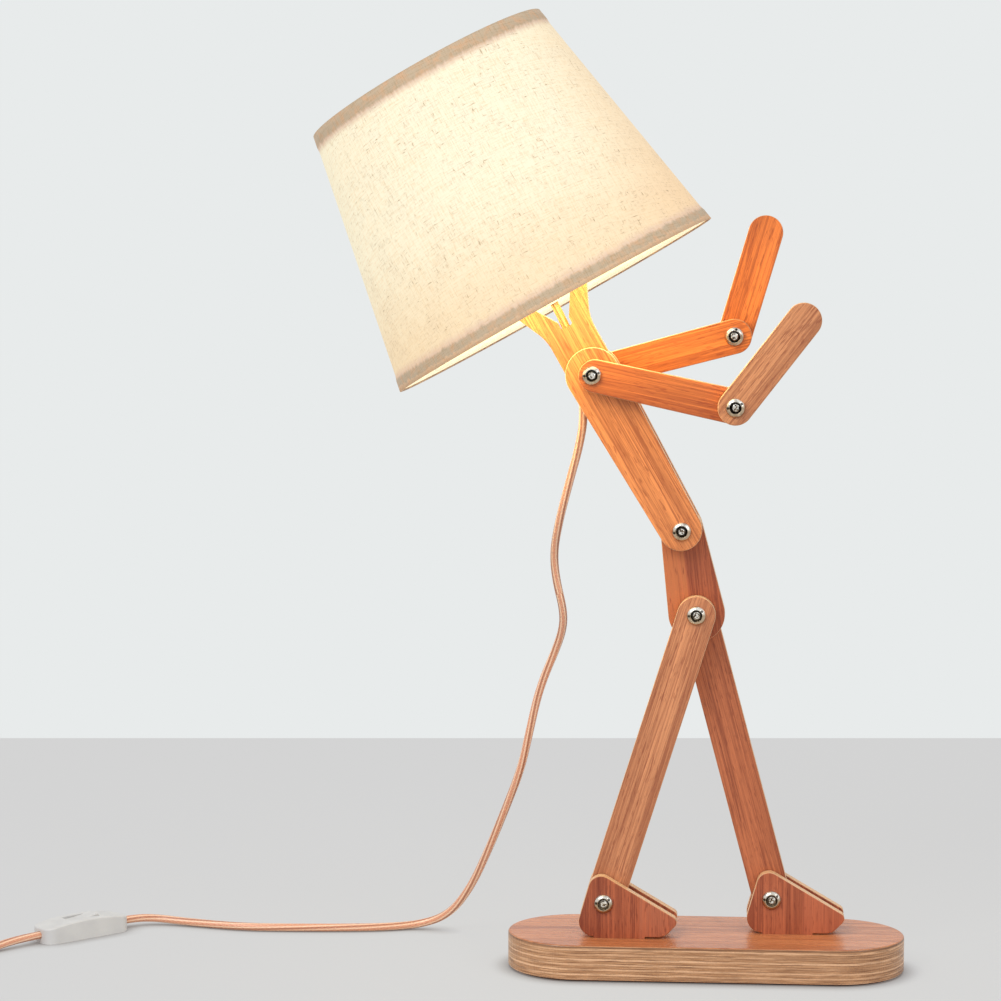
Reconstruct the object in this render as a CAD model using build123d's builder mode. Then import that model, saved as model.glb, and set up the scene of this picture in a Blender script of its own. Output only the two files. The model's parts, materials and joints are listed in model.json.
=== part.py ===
"""Jointed plywood figure desk lamp with a fabric shade, an inline switch and a coiled lead.

Millimetres. Origin at the centre of the base's underside, +X along the base, +Y to the back, +Z up.
"""

import os
from math import atan2, cos, degrees, hypot, pi, radians, sin, tan

from build123d import *

os.makedirs("parts", exist_ok=True)

# ---- Plywood layers, counted outwards from the middle plane Y = 0
core_thickness = 9.0  # neck and pelvis, in the middle
slat_thickness = 8.0  # every other slat
joint_gap = 0.5  # between two slats on one bolt
edge_round = 0.6

# ---- Base
base_length = 240.0
base_width = 86.0
base_thickness = 21.0
base_edge_round = 1.2
pad_thickness = 1.0
pad_inset = 3.0
mortise_clearance = 0.1
mortise_floor_gap = 0.5

# ---- Figure: pivots, and angles counted from +X
near_ankle_x = -61.0
far_ankle_x = 40.0
ankle_rise = 20.9  # above the base's top
hip_x = -6.3
hip_z = 217.0
leg_width = 23.0
pelvis_length = 51.3
pelvis_angle = 100.2
pelvis_hip_radius = 17.0
pelvis_waist_radius = 12.9
torso_length = 107.6
torso_angle = 119.8
torso_shoulder_radius = 16.3
torso_waist_radius = 12.9
torso_waist_shift = 1.3  # the lower round stands above its bolt
upper_arm_length = 87.0
upper_arm_shoulder_radius = 9.8
upper_arm_shoulder_shift = 1.8
upper_arm_elbow_radius = 10.5
near_arm_angle = -12.2
far_arm_angle = 14.8
forearm_length = 65.0
forearm_width = 21.0
near_forearm_angle = 52.2
far_forearm_angle = 73.5

# ---- Foot cheek, from its ankle along X and from the base's top along Z
foot_lift = 0.8
foot_heel_x = -17.9
foot_heel_round = 9.0
foot_top_x = -6.1
foot_top_z = 41.5
foot_top_round = 7.5
foot_toe_x = 46.0
foot_toe_z = 10.9
foot_toe_round = 3.5
foot_sole_x = 36.5
foot_sole_round = 10.0
tab_start = -5.9
tab_end = 24.8
tab_depth = 13.5

# ---- Bolts, cap nuts, washers and wood screws
bolt_radius = 2.5
running_clearance = 0.05
head_radius = 5.8
head_height = 2.4
head_rim = 0.6
head_flat_radius = 4.0
recess_radius = 3.6
recess_floor_radius = 2.5
recess_depth = 1.2
key_radius = 1.45  # across the corners of the key hole
key_depth = 1.6
nut_barrel_radius = 3.5
nut_inset = 1.0  # the barrel stops short of the slat's inner face
washer_radius = 6.0
washer_clearance = 0.05  # each side, in its gap
screw_radius = 1.75
screw_head_radius = 3.4
screw_head_height = 2.2
foot_screw_length = 18.0
foot_screw_sink = 3.5

# ---- Neck fork, along the neck's axis from the shoulder
neck_angle = 119.3
fork_half_width = 14.5
fork_bend = 31.0
fork_bend_round = 30.0
prong_outer_slope = 0.455
crotch_height = 32.5
crotch_half_width = 3.9
crotch_flare = 37.0
crotch_round = 1.2
prong_inner_slope = 0.62
channel_clearance = 0.4

# ---- Holder plate, cord grip and lamp holder
plate_height = 58.0
plate_thickness = 5.0
plate_radius = 31.0
plate_screw_length = 7.0  # short, because the prongs slope away under the plate
nipple_radius = 5.0
nipple_clearance = 0.9  # round the lead
nipple_length = 18.0
grip_length = 9.4
grip_radius = 7.2
grip_mouth_radius = 5.2
grip_clearance = 0.3
grip_floor = 2.4
holder_cap_radius = 17.5
holder_cap_height = 18.0
holder_wall = 1.8
holder_lap = 5.0
holder_body_height = 38.0
holder_clearance = 0.2
holder_flange_radius = 23.0
holder_flange_rise = 12.0  # above the body's lower end
holder_flange_thickness = 2.0
core_side_gap = 0.4
core_rise = 3.0  # above the cap
core_floor = 6.0
core_height = 26.0
core_bore_gap = 0.7  # round the bulb's cap
contact_thickness = 0.5
contact_width = 3.0
contact_height = 5.0
contact_gap = 0.07
lock_nut_radius = 7.5
lock_nut_height = 3.0

# ---- Shade and its wire frame
shade_start = 47.0
shade_height = 158.0
shade_bottom_radius = 106.0
shade_top_radius = 77.0
cover_thickness = 0.8
liner_thickness = 0.5
liner_setback = 3.0
laminate_gap = 0.05
wire_radius = 1.5
ring_setback = 2.4
ring_gap = 0.3
hub_radius = 25.5
hub_thickness = 1.5
spoke_count = 3
spoke_start_angle = 30.0
clamp_ring_radius = 23.8
clamp_ring_height = 6.0

# ---- Bulb
bulb_seat = 0.55  # tip above the holder core's floor
bulb_tip_radius = 4.8
bulb_tip_height = 2.0
bulb_cap_radius = 13.0
bulb_cap_height = 22.0
bulb_cap_wall = 0.5
bulb_neck_gap = 0.2  # inside the cap
bulb_neck_height = 9.0
bulb_radius = 30.0
bulb_centre_height = 50.0
bulb_wall = 0.9
bulb_shoulder_angle = -38.0

# ---- Lead
cord_radius = 2.5
floor_gap = 0.1
neck_exit_run = 1.5  # times the neck route's last run, straight on
coil_centre = (-492.0, -12.0)
coil_turn_radius = 28.0
coil_columns = 2
coil_rows = 3
coil_slack = 0.2
coil_round = 2.0

# ---- Inline switch
switch_centre = (-397.0, 53.0)
switch_heading = 46.0
switch_length = 62.0
switch_width = 21.0
switch_end_height = 9.5
switch_crown = 12.6
switch_part_line = 6.4
switch_wall = 1.6
switch_plan_round = 6.5
switch_edge_round = 1.2
switch_cord_height = 5.0
switch_cord_clearance = 0.1
switch_cord_seat = 3.0
rocker_length = 21.0
rocker_width = 9.6
rocker_clearance = 0.5
rocker_pivot_height = 9.4
rocker_depth = 2.2
rocker_end_rise = 3.4
rocker_middle_rise = 2.5
rocker_tilt = 7.0
rocker_round = 0.5
rocker_pin_radius = 1.2
rocker_pin_length = 1.0
rocker_ear = 1.6

# ---- Plug
plug_offset = 13.0  # of the relief's start, from the coil's middle
plug_relief_length = 20.0
plug_relief_start_radius = 3.4
plug_relief_end_radius = 4.4
plug_length = 34.0
plug_neck_width = 15.0
plug_neck_height = 10.0
plug_width = 32.0
plug_height = 13.6
plug_edge_round = 2.0
pin_radius = 2.0
pin_length = 19.0
pin_spacing = 19.0
pin_root = 8.0

cord_lie = cord_radius + floor_gap

# ---- Route of the lead, point by point. The first list is across and along the neck.
neck_route = [(0, 53), (0, 33), (-4.2, 13), (-9.6, -3), (-13, -10)]
upper_route = [
    (-77.5, 2.5, 317),
    (-83.5, 7.5, 296),
    (-90, 13.5, 272),
    (-93.8, 17.5, 252),
    (-92.3, 15.8, 235),
]
lower_route = [
    (-87.4, 11.8, 217),
    (-87.6, 12, 205),
    (-93, 17, 190),
    (-99, 22.5, 176),
    (-104.5, 27.5, 160),
    (-109.5, 32, 138),
    (-115, 37.5, 114),
    (-125, 47, 88),
    (-137, 58.5, 58.5),
    (-149, 70.5, 32),
    (-164, 83.5, 11),
    (-183, 89, cord_lie + 0.2),
    (-207, 80, cord_lie),
    (-236, 76.5, cord_lie),
    (-266, 74.5, cord_lie),
    (-294, 74, cord_lie),
    (-317, 79.5, cord_lie),
    (-337.7, 84.9, cord_lie + 0.4),
    (-354.5, 87.6, 4.2),
    (-367.8, 83.2, 5),
]
supply_route = [
    (-429.6, 19.2, 5),
    (-444, 1, cord_lie),
    (-457, -17, cord_lie),
]
supply_end = (-468.8, -31.8, cord_lie)

# ---- Worked-out places
base_top = pad_thickness + base_thickness
ankle_z = base_top + ankle_rise
plate_top = plate_height + plate_thickness
washer_thickness = joint_gap - 2 * washer_clearance
bolt_hole = bolt_radius + running_clearance
nut_hole = nut_barrel_radius + running_clearance


def along(start, angle, distance):
    """The point at a distance from start, at an angle from +X in the XZ plane."""
    return (
        start[0] + distance * cos(radians(angle)),
        start[1] + distance * sin(radians(angle)),
    )


near_ankle = (near_ankle_x, ankle_z)
far_ankle = (far_ankle_x, ankle_z)
hip = (hip_x, hip_z)
waist = along(hip, pelvis_angle, pelvis_length)
shoulder = along(waist, torso_angle, torso_length)
near_elbow = along(shoulder, near_arm_angle, upper_arm_length)
far_elbow = along(shoulder, far_arm_angle, upper_arm_length)


def span(start, end):
    """Distance and angle from one pivot to another."""
    dx, dz = end[0] - start[0], end[1] - start[1]
    return hypot(dx, dz), degrees(atan2(dz, dx))


def layer(number, side):
    """Front and back Y of a slat layer. 0 is the middle one; side is -1 in front, +1 behind."""
    if number == 0:
        return -core_thickness / 2, core_thickness / 2
    inner = core_thickness / 2 + joint_gap + (number - 1) * (slat_thickness + joint_gap)
    front, back = sorted((side * inner, side * (inner + slat_thickness)))
    return front, back


def save(part, name):
    """Labels a finished piece and writes it."""
    part.label = name
    export_step(part, f"parts/{name}.step")


# ---- Slats


def slat(pivot, angle, faces, rounds, holes):
    """A slat between two Y faces. rounds and holes are (distance along it, radius)."""
    front, back = faces
    plane = Plane(
        origin=(pivot[0], back, pivot[1]),
        x_dir=(cos(radians(angle)), 0, sin(radians(angle))),
        z_dir=(0, -1, 0),
    )
    with BuildPart() as body:
        with BuildSketch(plane):
            for distance, radius in rounds:
                with Locations((distance, 0)):
                    Circle(radius)
            make_hull()
        extrude(amount=back - front)
        fillet(body.edges() - body.edges().filter_by(Axis.Y), edge_round)
        with BuildSketch(plane):
            for distance, radius in holes:
                with Locations((distance, 0)):
                    Circle(radius)
        extrude(amount=back - front, mode=Mode.SUBTRACT)
    return body.part


near_leg_length, near_leg_angle = span(near_ankle, hip)
near_leg_rounds = [(0, leg_width / 2), (near_leg_length, leg_width / 2)]
near_leg_holes = [(0, bolt_hole), (near_leg_length, bolt_hole)]
near_leg = slat(near_ankle, near_leg_angle, layer(1, -1), near_leg_rounds, near_leg_holes)
save(near_leg, "near_leg")

far_leg_length, far_leg_angle = span(far_ankle, hip)
far_leg_rounds = [(0, leg_width / 2), (far_leg_length, leg_width / 2)]
far_leg_holes = [(0, bolt_hole), (far_leg_length, nut_hole)]
far_leg = slat(far_ankle, far_leg_angle, layer(1, 1), far_leg_rounds, far_leg_holes)
save(far_leg, "far_leg")

pelvis_rounds = [(0, pelvis_hip_radius), (pelvis_length, pelvis_waist_radius)]
pelvis_holes = [(0, bolt_hole), (pelvis_length, bolt_hole)]
save(slat(hip, pelvis_angle, layer(0, 0), pelvis_rounds, pelvis_holes), "pelvis_link")

torso_rounds = [
    (torso_waist_shift, torso_waist_radius),
    (torso_length, torso_shoulder_radius),
]
for side_name, side, waist_hole in (("near", -1, bolt_hole), ("far", 1, nut_hole)):
    torso_holes = [(0, waist_hole), (torso_length, bolt_hole)]
    cheek = slat(waist, torso_angle, layer(1, side), torso_rounds, torso_holes)
    save(cheek, f"{side_name}_torso_cheek")

# a cap nut's barrel always sits in the rearmost slat of its joint
arm_rounds = [
    (upper_arm_shoulder_shift, upper_arm_shoulder_radius),
    (upper_arm_length, upper_arm_elbow_radius),
]
near_arm_holes = [(0, bolt_hole), (upper_arm_length, nut_hole)]
far_arm_holes = [(0, nut_hole), (upper_arm_length, bolt_hole)]
save(slat(shoulder, near_arm_angle, layer(2, -1), arm_rounds, near_arm_holes), "near_upper_arm")
save(slat(shoulder, far_arm_angle, layer(2, 1), arm_rounds, far_arm_holes), "far_upper_arm")

forearm_rounds = [(0, forearm_width / 2), (forearm_length, forearm_width / 2)]
near_forearm = slat(near_elbow, near_forearm_angle, layer(3, -1), forearm_rounds, [(0, bolt_hole)])
save(near_forearm, "near_forearm")
far_forearm = slat(far_elbow, far_forearm_angle, layer(3, 1), forearm_rounds, [(0, nut_hole)])
save(far_forearm, "far_forearm")

# ---- Feet: two cheeks each, on either side of a leg, with tabs let into the base


def foot_cheek(ankle, front, hole_radius):
    """One side of a foot, its front face at Y = front."""
    back = front + slat_thickness
    sole = base_top + foot_lift
    corners = [
        (ankle[0] + foot_heel_x, sole),
        (ankle[0] + foot_top_x, base_top + foot_top_z),
        (ankle[0] + foot_toe_x, base_top + foot_toe_z),
        (ankle[0] + foot_sole_x, sole),
    ]
    rounds = [foot_heel_round, foot_top_round, foot_toe_round, foot_sole_round]
    plane = Plane.XZ.offset(-back)
    tab_middle = ankle[0] + (tab_start + tab_end) / 2
    tab_height = tab_depth + 2 * foot_lift
    with BuildPart() as side:
        with BuildSketch(plane):
            with BuildLine():
                FilletPolyline(*corners, radius=rounds, close=True)
            make_face()
        extrude(amount=slat_thickness)
        fillet(side.edges() - side.edges().filter_by(Axis.Y), edge_round)
        with BuildSketch(plane):
            with Locations((tab_middle, base_top - tab_depth + tab_height / 2)):
                Rectangle(tab_end - tab_start, tab_height)
        extrude(amount=slat_thickness)
        with BuildSketch(plane):
            with Locations(ankle):
                Circle(hole_radius)
        extrude(amount=slat_thickness, mode=Mode.SUBTRACT)
        with BuildSketch(Plane.XY.offset(base_top - tab_depth)):
            with Locations((tab_middle, front + slat_thickness / 2)):
                Circle(screw_radius + running_clearance)
        extrude(amount=foot_screw_length, mode=Mode.SUBTRACT)
    return side.part


foot_fronts = {
    "near_foot_front_cheek": (near_ankle, layer(1, -1)[0] - joint_gap - slat_thickness, bolt_hole),
    "near_foot_rear_cheek": (near_ankle, layer(1, -1)[1] + joint_gap, nut_hole),
    "far_foot_front_cheek": (far_ankle, layer(1, 1)[0] - joint_gap - slat_thickness, bolt_hole),
    "far_foot_rear_cheek": (far_ankle, layer(1, 1)[1] + joint_gap, nut_hole),
}
tab_places = []
for name, (ankle, front, hole_radius) in foot_fronts.items():
    save(foot_cheek(ankle, front, hole_radius), name)
    tab_places.append((ankle[0] + (tab_start + tab_end) / 2, front + slat_thickness / 2))

# ---- Base board, its anti-slip pad and the screws that hold the feet

with BuildPart() as base_board:
    with BuildSketch(Plane.XY.offset(pad_thickness)):
        SlotOverall(base_length, base_width)
    extrude(amount=base_thickness)
    fillet(base_board.edges() - base_board.edges().filter_by(Axis.Z), base_edge_round)
    with BuildSketch(Plane.XY.offset(base_top)):
        with Locations(*tab_places):
            Rectangle(
                tab_end - tab_start + 2 * mortise_clearance,
                slat_thickness + 2 * mortise_clearance,
            )
    extrude(amount=-(tab_depth + mortise_floor_gap), mode=Mode.SUBTRACT)
    with BuildSketch(Plane.XY.offset(pad_thickness)):
        with Locations(*tab_places):
            Circle(screw_radius + running_clearance)
    extrude(amount=base_thickness, mode=Mode.SUBTRACT)
    with BuildSketch(Plane.XY.offset(pad_thickness)):
        with Locations(*tab_places):
            Circle(screw_head_radius + running_clearance)
    extrude(amount=foot_screw_sink, mode=Mode.SUBTRACT)
save(base_board.part, "base_board")

with BuildPart() as base_pad:
    with BuildSketch():
        SlotOverall(base_length - 2 * pad_inset, base_width - 2 * pad_inset)
    extrude(amount=pad_thickness)
save(base_pad.part, "base_pad")

with BuildPart() as foot_screws:
    with BuildSketch(Plane.XY.offset(pad_thickness + foot_screw_sink - screw_head_height)):
        with Locations(*tab_places):
            Circle(screw_head_radius)
    extrude(amount=screw_head_height)
    with BuildSketch(Plane.XY.offset(pad_thickness + foot_screw_sink)):
        with Locations(*tab_places):
            Circle(screw_radius)
    extrude(amount=foot_screw_length)
save(foot_screws.part, "foot_screws")

# ---- Bolts, cap nuts and washers. side is -1 where a head faces the front, +1 the back.


def domed_head(pivot, face, side):
    """A domed head on a slat's face, with a dished recess and a hexagonal key hole."""
    plane = Plane(origin=(pivot[0], face, pivot[1]), x_dir=(1, 0, 0), z_dir=(0, 0, side))
    with BuildPart() as head:
        with BuildSketch(plane):
            with BuildLine():
                Polyline((0, 0), (head_radius, 0), (head_radius, head_rim))
                RadiusArc(
                    (head_radius, head_rim),
                    (head_flat_radius, head_height),
                    -(head_radius - head_flat_radius) * 1.6,
                )
                Polyline(
                    (head_flat_radius, head_height),
                    (recess_radius, head_height),
                    (recess_floor_radius, head_height - recess_depth),
                    (0, head_height - recess_depth),
                    (0, 0),
                )
            make_face()
        revolve(axis=Axis((pivot[0], face, pivot[1]), (0, 1, 0)))
    return head.part


def bolt(pivot, front, back):
    """A bolt through a joint, from the front slat's face to its cap nut at the back."""
    tip = back - slat_thickness / 2
    with BuildPart() as body:
        add(domed_head(pivot, front, -1))
        with BuildSketch(Plane.XZ.offset(-front)):
            with Locations(pivot):
                Circle(bolt_radius)
        extrude(amount=-(tip - front))
        floor = front - head_height + recess_depth
        with BuildSketch(Plane.XZ.offset(-floor)):
            with Locations(pivot):
                RegularPolygon(key_radius, 6)
        extrude(amount=-key_depth, mode=Mode.SUBTRACT)
    return body.part


def cap_nut(pivot, back):
    """A barrel nut let into the rear slat, its domed head on the slat's back face."""
    barrel = slat_thickness - nut_inset
    with BuildPart() as body:
        add(domed_head(pivot, back, 1))
        with BuildSketch(Plane.XZ.offset(-back)):
            with Locations(pivot):
                Circle(nut_barrel_radius)
        extrude(amount=barrel)
        with BuildSketch(Plane.XZ.offset(-(back - barrel))):
            with Locations(pivot):
                Circle(bolt_hole)
        extrude(amount=-(barrel - nut_inset), mode=Mode.SUBTRACT)
        floor = back + head_height - recess_depth
        with BuildSketch(Plane.XZ.offset(-floor)):
            with Locations(pivot):
                RegularPolygon(key_radius, 6)
        extrude(amount=key_depth, mode=Mode.SUBTRACT)
    return body.part


def washers(places):
    """Washers that fill gaps between slats. places are (pivot, middle of the gap)."""
    with BuildPart() as body:
        for pivot, middle in places:
            with BuildSketch(Plane.XZ.offset(-(middle - washer_thickness / 2))):
                with Locations(pivot):
                    Circle(washer_radius)
                    Circle(bolt_hole, mode=Mode.SUBTRACT)
            extrude(amount=-washer_thickness)
    return body.part


joints = {
    "hip": (hip, layer(1, -1)[0], layer(1, 1)[1]),
    "waist": (waist, layer(1, -1)[0], layer(1, 1)[1]),
    "shoulder": (shoulder, layer(2, -1)[0], layer(2, 1)[1]),
    "near_elbow": (near_elbow, layer(3, -1)[0], layer(2, -1)[1]),
    "far_elbow": (far_elbow, layer(2, 1)[0], layer(3, 1)[1]),
}
for name, (pivot, front, back) in joints.items():
    save(bolt(pivot, front, back), f"{name}_bolt")
    save(cap_nut(pivot, back), f"{name}_nut")

ankles = [
    (near_ankle, "near_foot_front_cheek", "near_foot_rear_cheek"),
    (far_ankle, "far_foot_front_cheek", "far_foot_rear_cheek"),
]
with BuildPart() as ankle_bolts:
    for ankle, front_cheek, rear_cheek in ankles:
        add(bolt(ankle, foot_fronts[front_cheek][1], foot_fronts[rear_cheek][1] + slat_thickness))
save(ankle_bolts.part, "ankle_bolts")

with BuildPart() as ankle_nuts:
    for ankle, front_cheek, rear_cheek in ankles:
        add(cap_nut(ankle, foot_fronts[rear_cheek][1] + slat_thickness))
save(ankle_nuts.part, "ankle_nuts")


def gap_outside(number, side):
    """Middle of the gap on the outer side of a slat layer."""
    front, back = layer(number, side)
    return back + joint_gap / 2 if side > 0 else front - joint_gap / 2


inner_gaps = [gap_outside(0, 1), -gap_outside(0, 1)]
outer_gaps = [gap_outside(1, 1), gap_outside(1, -1)]
leg_washer_places = [(hip, gap) for gap in inner_gaps]
leg_washer_places += [(near_ankle, -gap_outside(0, 1)), (near_ankle, gap_outside(1, -1))]
leg_washer_places += [(far_ankle, gap_outside(0, 1)), (far_ankle, gap_outside(1, 1))]
save(washers(leg_washer_places), "leg_washers")

torso_washer_places = [(waist, gap) for gap in inner_gaps]
torso_washer_places += [(shoulder, gap) for gap in inner_gaps + outer_gaps]
save(washers(torso_washer_places), "torso_washers")
save(washers([(near_elbow, gap_outside(2, -1))]), "near_elbow_washer")
save(washers([(far_elbow, gap_outside(2, 1))]), "far_elbow_washer")

# ---- The head's own frame: across is V, along the neck is U, both from the shoulder

neck_lean = radians(neck_angle - 90)
neck_across = Vector(cos(neck_lean), 0, sin(neck_lean))
neck_along = Vector(-sin(neck_lean), 0, cos(neck_lean))
neck_origin = Vector(shoulder[0], 0, shoulder[1])
neck_axis = Axis(neck_origin, neck_along)
neck_plane = Plane(origin=neck_origin, x_dir=neck_across, z_dir=(0, -1, 0))


def neck_point(v, u):
    return neck_origin + neck_across * v + neck_along * u


def neck_level(u):
    """A plane square to the neck at height u, facing away from the shoulder."""
    return Plane(origin=neck_point(0, u), x_dir=neck_across, z_dir=neck_along)


def turned(*profiles):
    """Solids of revolution about the neck's axis, from closed (radius, height) outlines."""
    with BuildPart() as body:
        with BuildSketch(neck_plane):
            for profile in profiles:
                with BuildLine():
                    Polyline(*profile, close=True)
                make_face()
        revolve(axis=neck_axis)
    return body.part


def tube_profile(inner, outer, low, high):
    return [(inner, low), (outer, low), (outer, high), (inner, high)]


# ---- Lead: straight runs joined by arcs


def cord_tube(points, name):
    """A round tube along a route, each arc as large as its two runs allow."""
    route = [Vector(*point) for point in points]
    runs = [route[i + 1] - route[i] for i in range(len(route) - 1)]
    turns = [runs[i].get_angle(runs[i + 1]) for i in range(len(runs) - 1)]
    arcs = [
        0.45 * min(runs[i].length, runs[i + 1].length) / tan(radians(turns[i] / 2))
        for i in range(len(turns))
    ]
    with BuildPart() as tube:
        with BuildLine() as path:
            FilletPolyline(*route, radius=arcs)
        with BuildSketch(Plane(origin=route[0], z_dir=runs[0])):
            Circle(cord_radius)
        sweep()
    length = sum(edge.length for edge in path.edges())
    print(name, "length", round(length, 1), "radii", [round(radius) for radius in arcs])
    print("  turns", [round(turn) for turn in turns], "runs", [round(run.length) for run in runs])
    print("  volume", round(tube.part.volume, 1), "of", round(length * pi * cord_radius**2, 1))
    save(tube.part, name)


neck_points = [neck_point(v, u) for v, u in neck_route]
neck_exit = neck_points[-1] + (neck_points[-1] - neck_points[-2]) * neck_exit_run
lead_split = (Vector(*upper_route[-1]) + Vector(*lower_route[0])) * 0.5
switch_along = Vector(cos(radians(switch_heading)), sin(radians(switch_heading)), 0)
switch_origin = Vector(switch_centre[0], switch_centre[1], 0)
cord_seat = switch_along * (switch_length / 2 - switch_cord_seat)
cord_level = Vector(0, 0, switch_cord_height)
cord_tube(neck_points, "cord_neck")
cord_tube([neck_points[-1], neck_exit, *upper_route, lead_split], "cord_upper")
cord_tube([lead_split, *lower_route, switch_origin + cord_seat + cord_level], "cord_lower")
cord_tube([switch_origin - cord_seat + cord_level, *supply_route, supply_end], "cord_supply")

coil_half_width = coil_columns * cord_radius + coil_slack
with BuildPart() as cord_coil:
    with BuildSketch():
        with Locations(coil_centre):
            Circle(coil_turn_radius + coil_half_width)
            Circle(coil_turn_radius - coil_half_width, mode=Mode.SUBTRACT)
    extrude(amount=coil_rows * 2 * cord_radius + coil_slack)
    fillet(cord_coil.edges().filter_by(GeomType.CIRCLE), coil_round)
save(cord_coil.part, "cord_coil")

# ---- Neck fork

prong_inner = crotch_half_width + prong_inner_slope * (plate_height - crotch_flare)
prong_outer = fork_half_width + prong_outer_slope * (plate_height - fork_bend)
half_fork = [
    ((fork_half_width, 0), 0),
    ((fork_half_width, fork_bend), fork_bend_round),
    ((prong_outer, plate_height), 0),
    ((prong_inner, plate_height), 0),
    ((crotch_half_width, crotch_flare), 0),
    ((crotch_half_width, crotch_height), crotch_round),
]
mirrored_fork = [((-v, u), radius) for (v, u), radius in reversed(half_fork)]
fork_outline = half_fork + mirrored_fork
with BuildPart() as neck_fork:
    with BuildSketch(neck_plane.offset(-core_thickness / 2)):
        with BuildLine():
            FilletPolyline(
                *[point for point, radius in fork_outline],
                radius=[radius for point, radius in fork_outline],
                close=True,
            )
        make_face()
        Circle(fork_half_width)
    extrude(amount=core_thickness)
    with BuildSketch(neck_plane.offset(-core_thickness / 2)):
        Circle(bolt_hole)
    extrude(amount=core_thickness, mode=Mode.SUBTRACT)
    # the lead's channel runs from the crotch, past the bolt, and out of the round end
    with BuildLine():
        Polyline(*neck_points[1:], neck_points[-1] + (neck_points[-1] - neck_points[-2]))
    with BuildSketch(Plane(origin=neck_points[1], z_dir=neck_points[2] - neck_points[1])):
        Circle(cord_radius + channel_clearance)
    sweep(transition=Transition.ROUND, mode=Mode.SUBTRACT)
    with BuildSketch(neck_level(neck_route[1][1])):
        Circle(cord_radius + channel_clearance)
    extrude(amount=crotch_height, mode=Mode.SUBTRACT)
    screw_v = holder_cap_radius + holder_clearance + screw_head_radius
    with BuildSketch(neck_level(plate_height)):
        with Locations((screw_v, 0), (-screw_v, 0)):
            Circle(screw_radius + running_clearance)
    extrude(amount=-plate_screw_length, mode=Mode.SUBTRACT)
save(neck_fork.part, "neck_fork")

# ---- Holder plate, screws, nipple, lock nut and cord grip

with BuildPart() as holder_plate:
    with BuildSketch(neck_level(plate_height)):
        Circle(plate_radius)
        Circle(nipple_radius + running_clearance, mode=Mode.SUBTRACT)
        with Locations((screw_v, 0), (-screw_v, 0)):
            Circle(screw_radius + running_clearance, mode=Mode.SUBTRACT)
    extrude(amount=plate_thickness)
    rims = holder_plate.edges().filter_by(GeomType.CIRCLE).group_by(SortBy.RADIUS)[-1]
    fillet(rims, edge_round)
save(holder_plate.part, "holder_plate")

with BuildPart() as plate_screws:
    with BuildSketch(neck_level(plate_top)):
        with Locations((screw_v, 0), (-screw_v, 0)):
            Circle(screw_head_radius)
    extrude(amount=screw_head_height)
    with BuildSketch(neck_level(plate_top)):
        with Locations((screw_v, 0), (-screw_v, 0)):
            Circle(screw_radius)
    extrude(amount=-(plate_thickness + plate_screw_length - nut_inset))
save(plate_screws.part, "plate_screws")

grip_low = plate_height - grip_length
nipple_low = grip_low + grip_floor
nipple_high = nipple_low + nipple_length
nipple_bore = cord_radius + nipple_clearance
save(turned(tube_profile(nipple_bore, nipple_radius, nipple_low, nipple_high)), "holder_nipple")

grip_bore = cord_radius + grip_clearance
grip_profile = [
    (grip_bore, grip_low),
    (grip_mouth_radius, grip_low),
    (grip_radius, nipple_low),
    (grip_radius, plate_height),
    (nipple_radius + running_clearance, plate_height),
    (nipple_radius + running_clearance, nipple_low),
    (grip_bore, nipple_low),
]
save(turned(grip_profile), "cord_grip")

cap_floor = plate_top + holder_wall
with BuildPart() as lock_nut:
    with BuildSketch(neck_level(cap_floor)):
        RegularPolygon(lock_nut_radius, 6)
        Circle(nipple_radius + running_clearance, mode=Mode.SUBTRACT)
    extrude(amount=lock_nut_height)
save(lock_nut.part, "lock_nut")

# ---- Lamp holder

cap_top = plate_top + holder_cap_height
cap_profile = [
    (nipple_radius + running_clearance, plate_top),
    (holder_cap_radius, plate_top),
    (holder_cap_radius, cap_top),
    (holder_cap_radius - holder_wall, cap_top),
    (holder_cap_radius - holder_wall, cap_floor),
    (nipple_radius + running_clearance, cap_floor),
]
save(turned(cap_profile), "holder_cap")

body_low = cap_top - holder_lap
body_top = body_low + holder_body_height
body_bore = holder_cap_radius + holder_clearance
body_radius = body_bore + holder_wall
flange_low = body_low + holder_flange_rise
flange_top = flange_low + holder_flange_thickness
body_profile = [
    (body_bore, body_low),
    (body_radius, body_low),
    (body_radius, flange_low),
    (holder_flange_radius, flange_low),
    (holder_flange_radius, flange_top),
    (body_radius, flange_top),
    (body_radius, body_top),
    (body_bore, body_top),
]
save(turned(body_profile), "holder_body")

core_radius = body_bore - core_side_gap
core_bore = bulb_cap_radius + core_bore_gap
core_low = cap_top + core_rise
core_seat = core_low + core_floor
core_profile = [
    (0, core_low),
    (core_radius, core_low),
    (core_radius, core_low + core_height),
    (core_bore, core_low + core_height),
    (core_bore, core_seat),
    (0, core_seat),
]
save(turned(core_profile), "holder_core")

with BuildPart() as holder_contacts:
    with BuildSketch(neck_level(core_seat)):
        Rectangle(contact_width, contact_width)
    extrude(amount=contact_thickness)
    with BuildSketch(neck_level(core_seat)):
        with Locations((bulb_cap_radius + contact_gap + contact_thickness / 2, 0)):
            Rectangle(contact_thickness, contact_width)
    extrude(amount=contact_height)
save(holder_contacts.part, "holder_contacts")

# ---- Shade: wire frame with a hub clamped on the holder, top ring, cover and liner

hub_bore = body_radius + holder_clearance
clamp_low = flange_top + hub_thickness
save(
    turned(tube_profile(hub_bore, clamp_ring_radius, clamp_low, clamp_low + clamp_ring_height)),
    "shade_clamp_ring",
)

shade_top = shade_start + shade_height
shade_taper = (shade_bottom_radius - shade_top_radius) / shade_height
wall_stretch = hypot(1, shade_taper)  # a wall's width across the axis, over its thickness


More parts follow.
